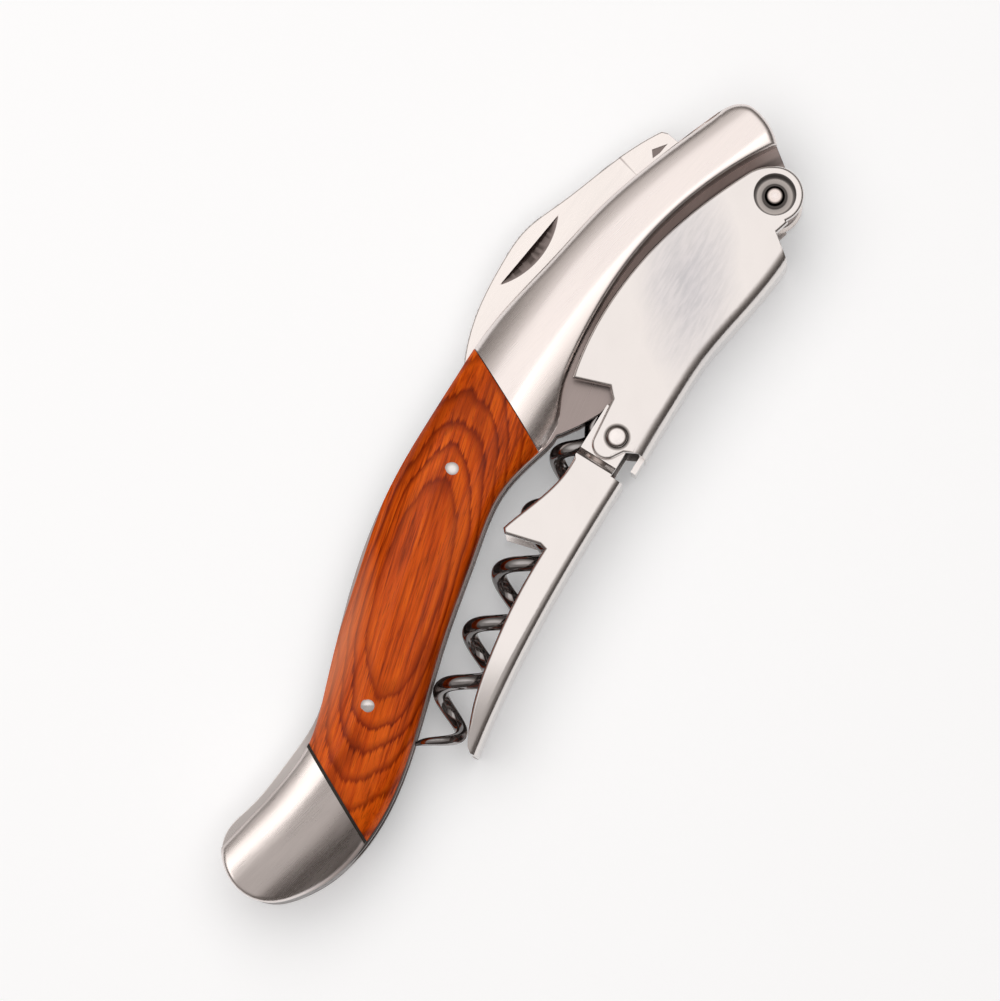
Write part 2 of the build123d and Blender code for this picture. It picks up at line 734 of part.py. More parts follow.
with BuildPart() as foil_cutter_blade:
    with BuildSketch(level(-blade_thickness / 2)):
        add(blade_plan.sketch)
        with Locations(foil_pivot):
            Circle(pivot_pin_radius + pivot_fit, mode=Mode.SUBTRACT)
    extrude(amount=blade_thickness)
    for side in (1, -1):
        with BuildSketch(level(side * blade_thickness / 2)):
            with BuildLine():
                Polyline(*plunge_line, close=True)
            make_face()
        extrude(amount=-side * ground_depth, mode=Mode.SUBTRACT)
    with BuildSketch(level(blade_thickness / 2)):
        with BuildLine():
            Polyline(*pocket, close=True)
        make_face()
    extrude(amount=-pocket_depth, mode=Mode.SUBTRACT)
    add(nail_nick.part, mode=Mode.SUBTRACT)
    with BuildSketch(grind_plane):
        for side in (1, -1):
            with BuildLine():
                Polyline(
                    (-grind_width, side * edge_thickness / 2),
                    (0, side * edge_thickness / 2),
                    (grind_width, side * blade_thickness / 2),
                    (grind_width, side * blade_thickness),
                    (-grind_width, side * blade_thickness),
                    close=True,
                )
            make_face()
    extrude(amount=2 * grind_length, mode=Mode.SUBTRACT)

write(wood_scale_top.part, "wood_scale_top")
write(mirror(wood_scale_top.part, about=middle), "wood_scale_bottom")
write(head_bolster_top.part, "head_bolster_top")
write(mirror(head_bolster_top.part, about=middle), "head_bolster_bottom")
write(tail_bolster_top.part, "tail_bolster_top")
write(mirror(tail_bolster_top.part, about=middle), "tail_bolster_bottom")
write(Compound([shim_top.part, mirror(shim_top.part, about=middle)]), "tail_joint_shims")
write(top_liner.part, "top_liner")
write(mirror(top_liner.part, about=middle), "bottom_liner")
write(back_spring.part, "back_spring")
write(scale_pins.part, "scale_pins")
write(head_bolster_rivets.part, "head_bolster_rivets")
write(tail_bolster_rivets.part, "tail_bolster_rivets")
write(worm_pin.part, "worm_pin")
write(foil_cutter_pin.part, "foil_cutter_pin")
write(foil_cutter_washers.part, "foil_cutter_washers")
write(hinge_bush.part, "hinge_bush")
write(lever_hinge_rivet.part, "lever_hinge_rivet")
write(upper_lever_arm.part, "upper_lever_arm")
write(lower_lever_arm.part, "lower_lever_arm")
write(Compound([joint_rivet.part, mirror(joint_rivet.part, about=middle)]), "lever_joint_rivets")
write(worm_whole.part, "worm")
write(foil_cutter_blade.part, "foil_cutter_blade")
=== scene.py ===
"""Looks of a folded waiter's corkscrew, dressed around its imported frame.

Lengths are in metres. X runs from tail to head, Y from the lever side to the spine
and Z up from the table that the tool lies on.
"""
import math

import bpy
import bmesh
from mathutils import Matrix, Vector


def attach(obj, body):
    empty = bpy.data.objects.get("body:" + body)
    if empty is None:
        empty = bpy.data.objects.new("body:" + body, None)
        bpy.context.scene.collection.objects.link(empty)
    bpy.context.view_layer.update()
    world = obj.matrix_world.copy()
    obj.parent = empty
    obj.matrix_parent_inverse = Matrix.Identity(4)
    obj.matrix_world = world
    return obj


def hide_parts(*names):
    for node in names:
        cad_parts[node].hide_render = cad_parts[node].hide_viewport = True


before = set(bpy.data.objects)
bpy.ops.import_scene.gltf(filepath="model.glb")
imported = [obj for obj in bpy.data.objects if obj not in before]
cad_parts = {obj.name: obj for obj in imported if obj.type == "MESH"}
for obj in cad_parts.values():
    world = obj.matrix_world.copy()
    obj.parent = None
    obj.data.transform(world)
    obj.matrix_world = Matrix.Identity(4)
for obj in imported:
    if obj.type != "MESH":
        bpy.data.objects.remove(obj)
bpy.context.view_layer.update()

bl_info = {
    "name": "Folded waiter's corkscrew",
    "version": (1, 0, 0),
    "blender": (4, 5, 0),
    "location": "View3D > Sidebar > Corkscrew",
    "description": "Dresses the packed corkscrew and sets its studio",
    "category": "Object",
}

MM = 0.001

# Heights of the middle plane, of the upper liner's outer face and of the crown
MID_HEIGHT = 6.7 * MM
LINER_FACE = 9.4 * MM
CROWN_HEIGHT = 13.4 * MM

# Corners closer than this are one, and two heights closer than this are the same
MERGED = 0.002 * MM
LEVEL = 0.01 * MM

# Crest of the dome, in millimetres: ends and corners of its straight runs, and the bends at the corners
CREST = [(92.0, -11.2), (58.0, 2.0), (21.0, 4.4), (-27.0, -7.6), (-58.0, -0.2)]
CREST_BENDS = [95.0, 115.0, 52.0]
# Radius across the dome, its height over the liner, and the flat that cuts its top
DOME_RADIUS = 10.9
DOME_TOP = 4.12
FLAT_TOP = 3.96

# Least height of a domed piece's top above its foot, and of the top of its rolled rim
LEAST_TOP = 0.03 * MM
LEAST_RIM = 0.25 * MM

# Each domed piece in plan, in millimetres: its corners from tail-belly round by the head to tail-spine,
# a place on its belly, head, spine and tail side, and its steps along and across
WOOD_PLAN = (
    [(-32.7, -13.2), (25.3, -4.8), (32.8, 10.3), (-25.7, 0.6)],
    [(0, -6.5), (29, 2.8), (0, 8), (-29, -6)], (120, 36),
)
HEAD_PLAN = (
    [(25.5, -4.8), (78.9, -10.4), (78.3, -1.15), (32.9, 10.3)],
    [(50, -1.6), (81.5, -4.4), (55, 6.7), (29, 2.8)], (110, 36),
)
TAIL_PLAN = (
    [(-46.9, -6.4), (-33.1, -13.2), (-26.1, 0.5), (-44.0, 3.2)],
    [(-41, -11.3), (-30, -6.5), (-35, 1.6), (-47.7, -3.35)], (48, 36),
)
# How far the wood lies below the dome, so that its pins stand proud of it
WOOD_SINK = 0.12 * MM

# Scale pins: places either side of the origin, radius and height of the domed ends
SCALE_PIN = (16.9 * MM, 3.76 * MM)
SCALE_PIN_RADIUS = 1.03 * MM
SCALE_PIN_RISE = 0.22 * MM

# Width of the fine rounding on folded and cut sheet, and radius along the blade's edges
FINE_ROUND = 0.1 * MM
BLADE_ROUND = 0.24 * MM
# Reach below the blade's face that takes in its ground part as well
GROUND_REACH = 0.14 * MM

# Hinge recess and joint rivets of the lever's arms, in millimetres
HINGE_PLACE = (72.7, -13.85)
RIVET_PLACE = (32.6, -13.12)
# Lines, each with a reach, whose edges on the lever's faces stay sharp: bores, lower arm's tip and joggle
LEVER_SPARED = [
    ((HINGE_PLACE, HINGE_PLACE), 3.05), ((RIVET_PLACE, RIVET_PLACE), 1.7),
    (((-15.0, -18.5), (-12.6, -17.3)), 0.9),
    (((27.5, -15.8), (27.9, -15.1)), 0.7), (((27.5, -9.6), (27.9, -9.5)), 0.5),
]
# Painted shade and lighter painted rings in the hinge recess, and painted shade round the joint rivet
# heads, by distance in millimetres
HINGE_RINGS = [
    (0.0, 0.15), (1.72, 0.13), (1.9, 0.42), (2.40, 0.52), (2.60, 0.16), (2.92, 0.09), (3.0, 1.0),
    (3.4, 1.0),
]
RIVET_RINGS = [(0.0, 0.1), (1.56, 0.08), (1.78, 0.5), (1.95, 1.0), (3.4, 1.0)]

# Half axes, turn and centre of the rubbed patch, and tint of its marks against the plain lever
RUBBED_PATCH = ((13.0, 6.2, 40.0), 30, (56.0, -10.0, 6.7))
RUB_LEVELS = [(0.68, 0.70, 0.74), (0.80, 0.81, 0.85)]

# Painted shade toward the rims of the heads of the hinge rivet and of the joint rivets, by distance in
# millimetres
HINGE_HEAD = [(0.0, 1.0), (0.75, 0.95), (1.05, 0.6), (1.25, 0.22), (1.42, 0.10), (1.8, 0.08)]
JOINT_HEAD = [(0.0, 1.0), (0.95, 1.0), (1.3, 0.62), (1.52, 0.2), (1.6, 0.15)]

# Upper face of the foil cutter's blade, its nick's line, its pocket and its pivot
BLADE_TOP = 7.7
NICK_LINE = ((41.8, 12.4), (55.8, 10.5))
POCKET_PLACE = (70.2, 3.6)
PIVOT_PLACE = (69.0, 0.4)
# Two lines that bound the blade's ground part
STEP_LINES = [((68.9, 16.4), (64.8, 1.4)), ((64.8, 1.4), (9.0, 1.4))]
# Lines, each with a reach, whose edges on the blade's faces stay sharp
BLADE_SPARED = [
    (NICK_LINE, 0.5), ((POCKET_PLACE, POCKET_PLACE), 2.0), ((PIVOT_PLACE, PIVOT_PLACE), 3.3),
    (STEP_LINES[0], 0.1), (STEP_LINES[1], 0.1),
]
# Half axes, turn and centre of the ovals of painted shade in the nick and in the pocket
NICK_AND_POCKET_SHADES = [
    ((7.5, 1.9, 40.0), -7.7, (48.67, 10.3, 6.7)), ((2.0, 2.0, 40.0), 0, (*POCKET_PLACE, 6.7)),
]

# Half axes, turn and centre of the painted shade in the corner of the blade's ground step
STEP_SHADE = ((9.0, 0.22, 40.0), 74.7, (67.6, 11.7, 6.7))

# Painted shade low on the tail bolsters' flanks, by the distance from the middle plane, in hundredths of a
# metre
FLANK_STOPS = [(0.33, (0.10, 0.085, 0.08)), (0.40, (0.40, 0.36, 0.345)), (0.50, (1, 1, 1))]

# Share of the painted light and shade on the liners at the tail, by the distance toward the tail, in
# tenths of a metre
TAIL_STOPS = [(0.20, (0, 0, 0)), (0.27, (1, 1, 1))]
# Painted light along the spine and painted shade along the belly
TAIL_LIT = (0.82, 0.77, 0.75)
TAIL_SHADE = (0.17, 0.145, 0.14)

# Arc along the belly edge of the head bolster, centre and radius
GROOVE_ARC = (48.93, -56.11, 54.64)
# Painted shade on the liner by the distance inward from that arc, from a quarter of the span outside it
GROOVE_SPAN = 6.0
GROOVE_SHADES = [
    (0.0, (0.16, 0.125, 0.115)), (0.42, (0.15, 0.115, 0.105)), (0.50, (0.02, 0.014, 0.012)),
    (0.9, (0.016, 0.011, 0.010)), (1.0, (0.10, 0.08, 0.07)),
]

# Distance of each ring from the middle of the oval: dark lines with one soft side
RING_STOPS = [
    (0.00, 1.0), (0.86, 0.95), (0.97, 0.62), (1.01, 0.30), (1.05, 0.86),
    (1.20, 1.0), (1.26, 0.66), (1.30, 0.20), (1.335, 1.0),
    (1.44, 1.0), (1.50, 0.62), (1.54, 0.22), (1.585, 1.0),
    (1.74, 0.96), (1.82, 0.30), (1.86, 1.0),
    (2.04, 0.92), (2.10, 0.34), (2.15, 1.0),
    (2.36, 0.90), (2.42, 0.36), (2.47, 1.0), (2.80, 0.8),
]
RING_SPAN = 3.0

# Colours of the liners and of the blade, and of the painted shade on the nick's floor and in the step's
# corner
LINER_COLOUR = (0.34, 0.285, 0.27)
BLADE_COLOUR = (0.82, 0.765, 0.735)
NICK_FLOOR_SHADE = (0.20, 0.165, 0.155)
STEP_CORNER_SHADE = (0.36, 0.31, 0.295)

# Name, colour and roughness of the metals of the small pieces
PIN_METAL = ("pin_bright", (0.76, 0.72, 0.70), 0.2)
BUSH_METAL = ("bush_dark", (0.26, 0.24, 0.23), 0.3)
HINGE_METAL = ("rivet_head", (0.80, 0.74, 0.72), 0.12)
JOINT_METAL = ("rivet_bright", (0.80, 0.75, 0.73), 0.14)
WASHER_METAL = ("washer_brass", (0.72, 0.50, 0.20), 0.3)

# Lean of the wood's rings and grain, in degrees
WOOD_LEAN = 15.0
# Half axes, lean and centre: of the unit ring, of the cells that bend the rings, and of the painted sheen
# on the lacquer
WOOD_RINGS = ((15.6, 4.6, 40.0), WOOD_LEAN, (0.5, 0.0, 6.7))
WOOD_SWAY = ((14.0, 5.5, 12.0), WOOD_LEAN, (3.0, 7.0, 1.0))
WOOD_SHEEN = ((17.0, 3.1, 40.0), WOOD_LEAN, (-13.2, 3.6, 6.7))
# Colour of the painted sheen, a reflection on the lacquer
SHEEN_COLOUR = (0.80, 0.30, 0.17)

# Depth of the bump in the materials
BUMP_DEPTH = 0.02 * MM

# Brightness of the studio by the height of the direction, from below to straight up
SKY_STOPS = [
    (0.45, (0.055, 0.048, 0.044)), (0.58, (0.075, 0.066, 0.061)), (0.66, (0.092, 0.082, 0.076)),
    (0.72, (0.125, 0.112, 0.105)), (0.795, (0.20, 0.184, 0.175)), (0.865, (0.34, 0.32, 0.305)),
    (0.915, (0.58, 0.555, 0.54)), (0.955, (0.84, 0.81, 0.795)), (0.98, (1.0, 0.975, 0.96)),
]
# Glow that the low sky has on the spine's side
GLOW_STOPS = [(0.78, (0, 0, 0)), (0.92, (0.05, 0.048, 0.045)), (1.0, (0.10, 0.095, 0.09))]
# Brightest directions of both, right and up in the picture and up from the floor
SKY_CENTRE = (-0.06, 0.06, 1)
GLOW_CENTRE = (-0.7, 0.6, 0.3)

# Brightness of the flag over the tail, from its upper left to its lower right
FLAG_STOPS = [
    (0.2, (1.0, 0.95, 0.92)), (0.37, (0.86, 0.81, 0.78)), (0.5, (0.45, 0.41, 0.39)),
    (0.68, (0.14, 0.12, 0.11)),
]

# Picture's directions: from the object to the camera, and up in the picture, before it is squared
VIEW = (-0.067, -0.080, 0.9945)
PICTURE_UP = (0.848, 0.530, 0)
# Middle of the picture, in millimetres
PICTURE_MIDDLE = (16.6, -4.15, 13.4)
SENSOR_WIDTH = 36.0

# Soft panels: place and aim, right and up in the picture and up from the crown; side; what each lights
PANELS = {
    "head_panel": ((62, -14, 120), (16, 34, 0), 120, (
        "head_bolster_upper", "head_bolster_lower", "wood_scale_upper", "wood_scale_lower",
    )),
    "tail_panel": ((-119, 21, 110), (-40, -55, 0), 110, (
        "tail_bolster_upper", "tail_bolster_lower", "wood_scale_upper", "wood_scale_lower",
        "liner_upper", "liner_lower", "spring",
    )),
    "floor_panel": ((-60, 60, 420), (0, 0, 0), 620, ("floor",)),
}
PANEL_COLOUR = (1.0, 0.985, 0.965)

# Flag over the tail: place, right and up in the picture and up from the crown, and size
FLAG_PLACE = (-5, -64, 52)
FLAG_SIZE = (120 * MM, 84 * MM, 1)


# Sizes and colours that a user may change

class HandleSettings(bpy.types.PropertyGroup):
    """Sizes and colours of the handle."""

    rim_round: bpy.props.FloatProperty(
        name="Rim rounding", description="Radius along the handle's long rims",
        default=0.5 * MM, min=0.0, unit="LENGTH",
    )
    belly_round: bpy.props.FloatProperty(
        name="Belly rounding", description="Radius of the bolsters' rims beside the lever",
        default=0.6 * MM, min=0.0, unit="LENGTH",
    )
    wood_colour: bpy.props.FloatVectorProperty(
        name="Wood", description="Main colour of the wood", subtype="COLOR",
        default=(0.67, 0.080, 0.003), min=0.0, max=1.0,
    )
    wood_light: bpy.props.FloatVectorProperty(
        name="Light wood", description="Colour of the wood between the rings", subtype="COLOR",
        default=(0.90, 0.150, 0.006), min=0.0, max=1.0,
    )
    wood_dark: bpy.props.FloatVectorProperty(
        name="Dark wood", description="Colour of the rings and streaks", subtype="COLOR",
        default=(0.20, 0.018, 0.002), min=0.0, max=1.0,
    )


class SteelSettings(bpy.types.PropertyGroup):
    """Colours of the metals."""

    bolster: bpy.props.FloatVectorProperty(
        name="Bolsters", description="Colour of the brushed bolsters", subtype="COLOR",
        default=(0.80, 0.735, 0.71), min=0.0, max=1.0,
    )
    lever: bpy.props.FloatVectorProperty(
        name="Lever", description="Colour of the polished lever", subtype="COLOR",
        default=(0.74, 0.70, 0.68), min=0.0, max=1.0,
    )
    worm: bpy.props.FloatVectorProperty(
        name="Worm", description="Colour of the plated worm", subtype="COLOR",
        default=(0.36, 0.34, 0.335), min=0.0, max=1.0,
    )
    edge_round: bpy.props.FloatProperty(
        name="Edge rounding", description="Radius along the edges of the lever's faces",
        default=0.45 * MM, min=0.0, unit="LENGTH",
    )


class StudioSettings(bpy.types.PropertyGroup):
    """Floor, light and camera."""

    floor_colour: bpy.props.FloatVectorProperty(
        name="Floor", description="Colour of the pale floor", subtype="COLOR",
        default=(0.855, 0.865, 0.88), min=0.0, max=1.0,
    )
    floor_glow: bpy.props.FloatProperty(
        name="Floor glow", description="Light that the floor gives, as a light table does",
        default=0.2, min=0.0,
    )
    head_panel: bpy.props.FloatProperty(
        name="Head panel", description="Brightness of the soft panel over the head bolsters and the wood",
        default=0.76, min=0.0,
    )
    tail_panel: bpy.props.FloatProperty(
        name="Tail panel", description="Brightness of the soft panel beyond the tail, on the spine's side",
        default=1.3, min=0.0,
    )
    floor_panel: bpy.props.FloatProperty(
        name="Floor panel", description="Brightness of the wide soft panel that lights the floor",
        default=1.02, min=0.0,
    )
    flag_glow: bpy.props.FloatProperty(
        name="Flag", description="Brightness of the grey flag that the tail's steel mirrors",
        default=0.46, min=0.0,
    )
    sky_strength: bpy.props.FloatProperty(
        name="Studio brightness", description="Strength of the light from the whole studio",
        default=1.2, min=0.0,
    )
    lens: bpy.props.FloatProperty(
        name="Lens", description="Focal length of the long lens in millimetres",
        default=200.0, min=20.0,
    )
    view_width: bpy.props.FloatProperty(
        name="View width", description="Width that the picture covers at the crown",
        default=137.5 * MM, min=0.01, unit="LENGTH",
    )


# Modelling helpers

def start_clean():
    """Leave object mode with nothing selected."""
    if bpy.context.mode != "OBJECT":
        bpy.ops.object.mode_set(mode="OBJECT")
    bpy.ops.object.select_all(action="DESELECT")


def make_active(piece):
    start_clean()
    piece.select_set(True)
    bpy.context.view_layer.objects.active = piece


def settle(piece, name):
    """Name a finished piece and put its place into its mesh."""
    make_active(piece)
    bpy.ops.object.transform_apply(location=True, rotation=True, scale=True)
    piece.name = name
    piece.data.name = name
    return piece


def apply_modifiers(piece):
    make_active(piece)
    for modifier in list(piece.modifiers):
        bpy.ops.object.modifier_apply(modifier=modifier.name)


def smooth(piece, degrees=35):
    make_active(piece)
    bpy.ops.object.shade_smooth_by_angle(angle=math.radians(degrees))


def give(piece, material):
    """Put one material on all of a piece."""
    piece.data.materials.clear()
    piece.data.materials.append(material)


def dress(piece, node, body):
    """Let a finished piece stand for a node."""
    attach(piece, body)
    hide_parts(node)


def copy_of(node, name):
    """Merged copy of a node's mesh with its flat faces made whole."""
    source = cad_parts[node]
    piece = bpy.data.objects.new(name, source.data.copy())
    bpy.context.scene.collection.objects.link(piece)
    make_active(piece)
    if piece.data.has_custom_normals:
        bpy.ops.mesh.customdata_custom_splitnormals_clear()
    bpy.ops.object.mode_set(mode="EDIT")
    bpy.ops.mesh.select_all(action="SELECT")
    bpy.ops.mesh.remove_doubles(threshold=MERGED)
    bpy.ops.mesh.dissolve_limited(angle_limit=math.radians(0.4))
    bpy.ops.object.mode_set(mode="OBJECT")
    return piece


def off_line(point, a, b):
    """Distance from a point to the straight line between two others."""
    step = b - a
    share = max(0, min(1, (point - a).dot(step) / step.length_squared)) if step.length else 0
    return (point - a.lerp(b, share)).length


def round_faces(piece, radius, spared=(), depth=LEVEL, degrees=35, segments=4):
    """Round the sharp edges round a piece's highest and lowest flat faces.

    The edges within a reach of some lines are spared; lines and reach are in millimetres.
    depth is how far from those faces an edge may lie.
    """
    heights = [v.co.z for v in piece.data.vertices]
    limits = min(heights), max(heights)
    lines = [(*(Vector(place) * MM for place in line), reach * MM) for line, reach in spared]
    make_active(piece)
    bpy.ops.object.mode_set(mode="EDIT")
    bpy.ops.mesh.select_mode(type="EDGE")
    bpy.ops.mesh.select_all(action="DESELECT")
    mesh = bmesh.from_edit_mesh(piece.data)
    for edge in mesh.edges:
        outer = any(all(abs(v.co.z - limit) < depth for v in edge.verts) for limit in limits)
        kept = any(all(off_line(v.co.xy, a, b) < reach for v in edge.verts) for a, b, reach in lines)
        if outer and not kept and edge.is_manifold and edge.calc_face_angle() > math.radians(degrees):
            edge.select_set(True)
    bmesh.update_edit_mesh(piece.data)
    bpy.ops.mesh.bevel(offset=radius, segments=segments, profile=0.5, affect="EDGES", clamp_overlap=False)
    bpy.ops.object.mode_set(mode="OBJECT")


def soften(piece):
    """Round every sharp edge a little."""
    bevel = piece.modifiers.new("edge round", "BEVEL")
    bevel.width = FINE_ROUND
    bevel.segments = 2
    bevel.limit_method = "ANGLE"
    bevel.angle_limit = math.radians(40)
    bevel.use_clamp_overlap = True
    bevel.miter_outer = "MITER_ARC"
    apply_modifiers(piece)
    keep_flat(piece, 60)


def keep_flat(piece, degrees):
    """Smooth shading that leaves the large flat faces flat."""
    smooth(piece, degrees)
    weighted = piece.modifiers.new("flat faces", "WEIGHTED_NORMAL")
    weighted.keep_sharp = True
    weighted.weight = 100
    apply_modifiers(piece)


def turn_outward():
    """Turn all faces outward and leave edit mode."""
    bpy.ops.mesh.select_all(action="SELECT")
    bpy.ops.mesh.normals_make_consistent(inside=False)
    bpy.ops.object.mode_set(mode="OBJECT")


def mirrored(piece, name):
    """Copy of a piece, mirrored about the handle's middle plane."""
    make_active(piece)
    bpy.ops.object.duplicate()
    twin = bpy.context.active_object
    twin.data.transform(Matrix.Translation((0, 0, 2 * MID_HEIGHT)) @ Matrix.Diagonal((1, 1, -1, 1)))
    bpy.ops.object.mode_set(mode="EDIT")
    turn_outward()
    return settle(twin, name)


def crest_runs():
    """The crest as straight runs, without a centre, and arcs: two ends, centre and radius."""
    corners = [Vector(p) for p in CREST]
    runs = []
    start = corners[0]
    for i, radius in enumerate(CREST_BENDS):
        corner, after = corners[i + 1], corners[i + 2]
        back = (corners[i] - corner).normalized()
        on = (after - corner).normalized()
        half = math.acos(max(-1, min(1, back.dot(on)))) / 2
        reach = radius / math.tan(half)
        centre = corner + (back + on).normalized() * (radius / math.sin(half))
        runs.append((start, corner + back * reach, None, 0))
        start = corner + on * reach
        runs.append((corner + back * reach, start, centre, radius))
    runs.append((start, corners[-1], None, 0))
    return runs


CREST_RUNS = crest_runs()


def crest_distance(x, y):
    """Distance in plan from a point to the crest, in millimetres."""
    point = Vector((x, y))
    best = 1e9
    for a, b, centre, radius in CREST_RUNS:
        if centre is None:
            best = min(best, off_line(point, a, b))
        else:
            aim = ((a + b) / 2 - centre).normalized()
            limit = (a - centre).normalized().dot(aim)
            out = point - centre
            if out.length > 0 and out.normalized().dot(aim) >= limit:
                best = min(best, abs(out.length - radius))
    return best


def dome_height(x, y):
    """Height of the domed top at a place in plan, all in metres."""
    across = min(crest_distance(x / MM, y / MM), DOME_RADIUS * 0.98)
    drop = DOME_RADIUS - math.sqrt(DOME_RADIUS ** 2 - across ** 2)
    return LINER_FACE + min(DOME_TOP - drop, FLAT_TOP) * MM


def foot_loop(node):
    """Outline of a top scale or bolster, as an ordered loop in its foot plane."""
    mesh = bmesh.new()
    mesh.from_mesh(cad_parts[node].data)
    bmesh.ops.remove_doubles(mesh, verts=mesh.verts, dist=MERGED)

    def in_foot(face):
        return all(abs(v.co.z - LINER_FACE) < LEVEL for v in face.verts)

    links = {}
    for edge in mesh.edges:
        if sum(in_foot(face) for face in edge.link_faces) == 1:
            a, b = edge.verts
            links.setdefault(a, []).append(b)
            links.setdefault(b, []).append(a)
    loops = []
    left = set(links)
    while left:
        first = left.pop()
        loop, last, here = [first], None, first
        while True:
            onward = [
                v for v in links[here]
                if v is not last and (v in left or (v is first and len(loop) > 2))
            ]
            if not onward or onward[0] is first:
                break
            last, here = here, onward[0]
            left.discard(here)
            loop.append(here)
        loops.append([v.co.xy.copy() for v in loop])
    mesh.free()
    return max(loops, key=lambda loop: max(p.x for p in loop) - min(p.x for p in loop))


def between(loop, start, end, via):
    """The stretch of a loop from one corner to another that passes nearest a third point."""
    i = min(range(len(loop)), key=lambda k: (loop[k] - start).length)
    j = min(range(len(loop)), key=lambda k: (loop[k] - end).length)
    n = len(loop)
    forward = [loop[(i + k) % n] for k in range((j - i) % n + 1)]
    backward = [loop[(i - k) % n] for k in range((i - j) % n + 1)]

    def miss(way):
        """Distance from the third point to the nearest step of a way."""
        return min((off_line(via, a, b) for a, b in zip(way, way[1:])), default=1e9)

    return min(forward, backward, key=miss)


def spaced(way, count):
    """A way divided into count steps that shorten toward both of its ends."""
    lengths = [0.0]
    for a, b in zip(way, way[1:]):
        lengths.append(lengths[-1] + (b - a).length)
    spots, k = [], 0
    for i in range(count + 1):
        target = lengths[-1] * (1 - math.cos(math.pi * i / count)) / 2
        while k < len(way) - 2 and lengths[k + 1] < target:
            k += 1
        span = lengths[k + 1] - lengths[k]
        spots.append(way[k].lerp(way[k + 1], min(1, (target - lengths[k]) / span) if span else 0))
    return spots


def rolled_drop(point, way, near, radius):
    """How far a rim of a radius lies below the face at a point, for the steps of a way near an index."""
    part = way[max(0, near - 9):near + 10]
    best = min(radius, *(off_line(point, a, b) for a, b in zip(part, part[1:])))
    return radius - math.sqrt(max(0, radius ** 2 - (radius - best) ** 2))


def domed_piece(node, name, corners, vias, cells, rims, sink=0.0):
    """Domed slab over a node's outline, with its rims rolled over.

    rims give a side's radius; sink lowers the dome so that the pins stand proud.
    """
    along, across = cells
    loop = foot_loop(node)
    spots = [Vector(c) * MM for c in corners]
    marks = [Vector(v) * MM for v in vias]
    belly = spaced(between(loop, spots[0], spots[1], marks[0]), along)
    head = spaced(between(loop, spots[1], spots[2], marks[1]), across)
    spine = spaced(between(loop, spots[3], spots[2], marks[2]), along)
    tail = spaced(between(loop, spots[0], spots[3], marks[3]), across)
    sides = {"belly": (belly, 0), "spine": (spine, 0), "head": (head, 1), "tail": (tail, 1)}

    start_clean()
    bpy.ops.mesh.primitive_grid_add(x_subdivisions=along, y_subdivisions=across, size=2)
    piece = bpy.context.active_object
    for vertex in piece.data.vertices:
        cell = round((vertex.co.x + 1) / 2 * along), round((vertex.co.y + 1) / 2 * across)
        i, j = cell
        u, v = [(1 - math.cos(math.pi * k / n)) / 2 for k, n in zip(cell, cells)]
        place = (
            belly[i] * (1 - v) + spine[i] * v + tail[j] * (1 - u) + head[j] * u
            - belly[0] * ((1 - u) * (1 - v)) - belly[-1] * (u * (1 - v))
            - spine[-1] * (u * v) - spine[0] * ((1 - u) * v)
        )
        height = max(dome_height(place.x, place.y) - sink, LINER_FACE + LEAST_TOP)
        drop = max(rolled_drop(place, sides[side][0], cell[sides[side][1]], rims[side]) for side in rims)
        vertex.co = (place.x, place.y, max(height - drop, min(height, LINER_FACE + LEAST_RIM)))
    piece.data.update()

    bpy.ops.object.mode_set(mode="EDIT")
    bpy.ops.mesh.select_all(action="SELECT")
    bpy.ops.mesh.region_to_loop()
    bpy.ops.mesh.extrude_region_move(TRANSFORM_OT_translate={"value": (0, 0, -1 * MM)})
    mesh = bmesh.from_edit_mesh(piece.data)
    for vertex in mesh.verts:
        if vertex.select:
            vertex.co.z = LINER_FACE
    bmesh.update_edit_mesh(piece.data)
    bpy.ops.mesh.edge_face_add()
    turn_outward()
    settle(piece, name)
    smooth(piece, 40)
    return piece


def domed_pin(x, y, radius, reach, rise, steps=6):
    """Round pin through the handle's middle plane, both of its ends domed."""
    ring = 1 / (steps + 0.5)
    start_clean()
    bpy.ops.mesh.primitive_cylinder_add(
        vertices=40, radius=radius, depth=2 * (reach - rise), location=(x, y, MID_HEIGHT),
    )
    pin = bpy.context.active_object
    bpy.ops.object.mode_set(mode="EDIT")
    for side in (1, -1):
        bpy.ops.mesh.select_mode(type="FACE")
        bpy.ops.mesh.select_all(action="DESELECT")
        mesh = bmesh.from_edit_mesh(pin.data)
        for face in mesh.faces:
            face.select_set(face.normal.z * side > 0.9)
        bmesh.update_edit_mesh(pin.data)
        for k in range(steps):
            near, far = k * ring, (k + 1) * ring
            lift = rise * (far * (2 - far) - near * (2 - near))
            bpy.ops.mesh.inset(thickness=radius * ring)
            bpy.ops.transform.translate(value=(0, 0, side * lift))
    bpy.ops.object.mode_set(mode="OBJECT")
    return pin


def joined(pieces, name):
    """Several pieces made one."""
    start_clean()
    for piece in pieces:
        piece.select_set(True)
    bpy.context.view_layer.objects.active = pieces[0]
    bpy.ops.object.join()
    return settle(bpy.context.active_object, name)


# Materials

def new_material(name):
    """A bare material, its node tree and its shader."""
    material = bpy.data.materials.new(name)
    material.use_nodes = True
    tree = material.node_tree
    return material, tree, tree.nodes["Principled BSDF"]


def feed(tree, socket, value):
    """Link a socket to another one, or set its value."""
    if isinstance(value, bpy.types.NodeSocket):
        tree.links.new(value, socket)
    else:
        socket.default_value = value


def tune(tree, made, **sockets):
    """Link or set some of a node's sockets, named with low lines for spaces."""
    for key, value in sockets.items():
        feed(tree, made.inputs[key.replace("_", " ")], value)


def node(tree, kind, **sockets):
    """A node with some of its sockets linked or set."""
    made = tree.nodes.new(kind)
    tune(tree, made, **sockets)
    return made


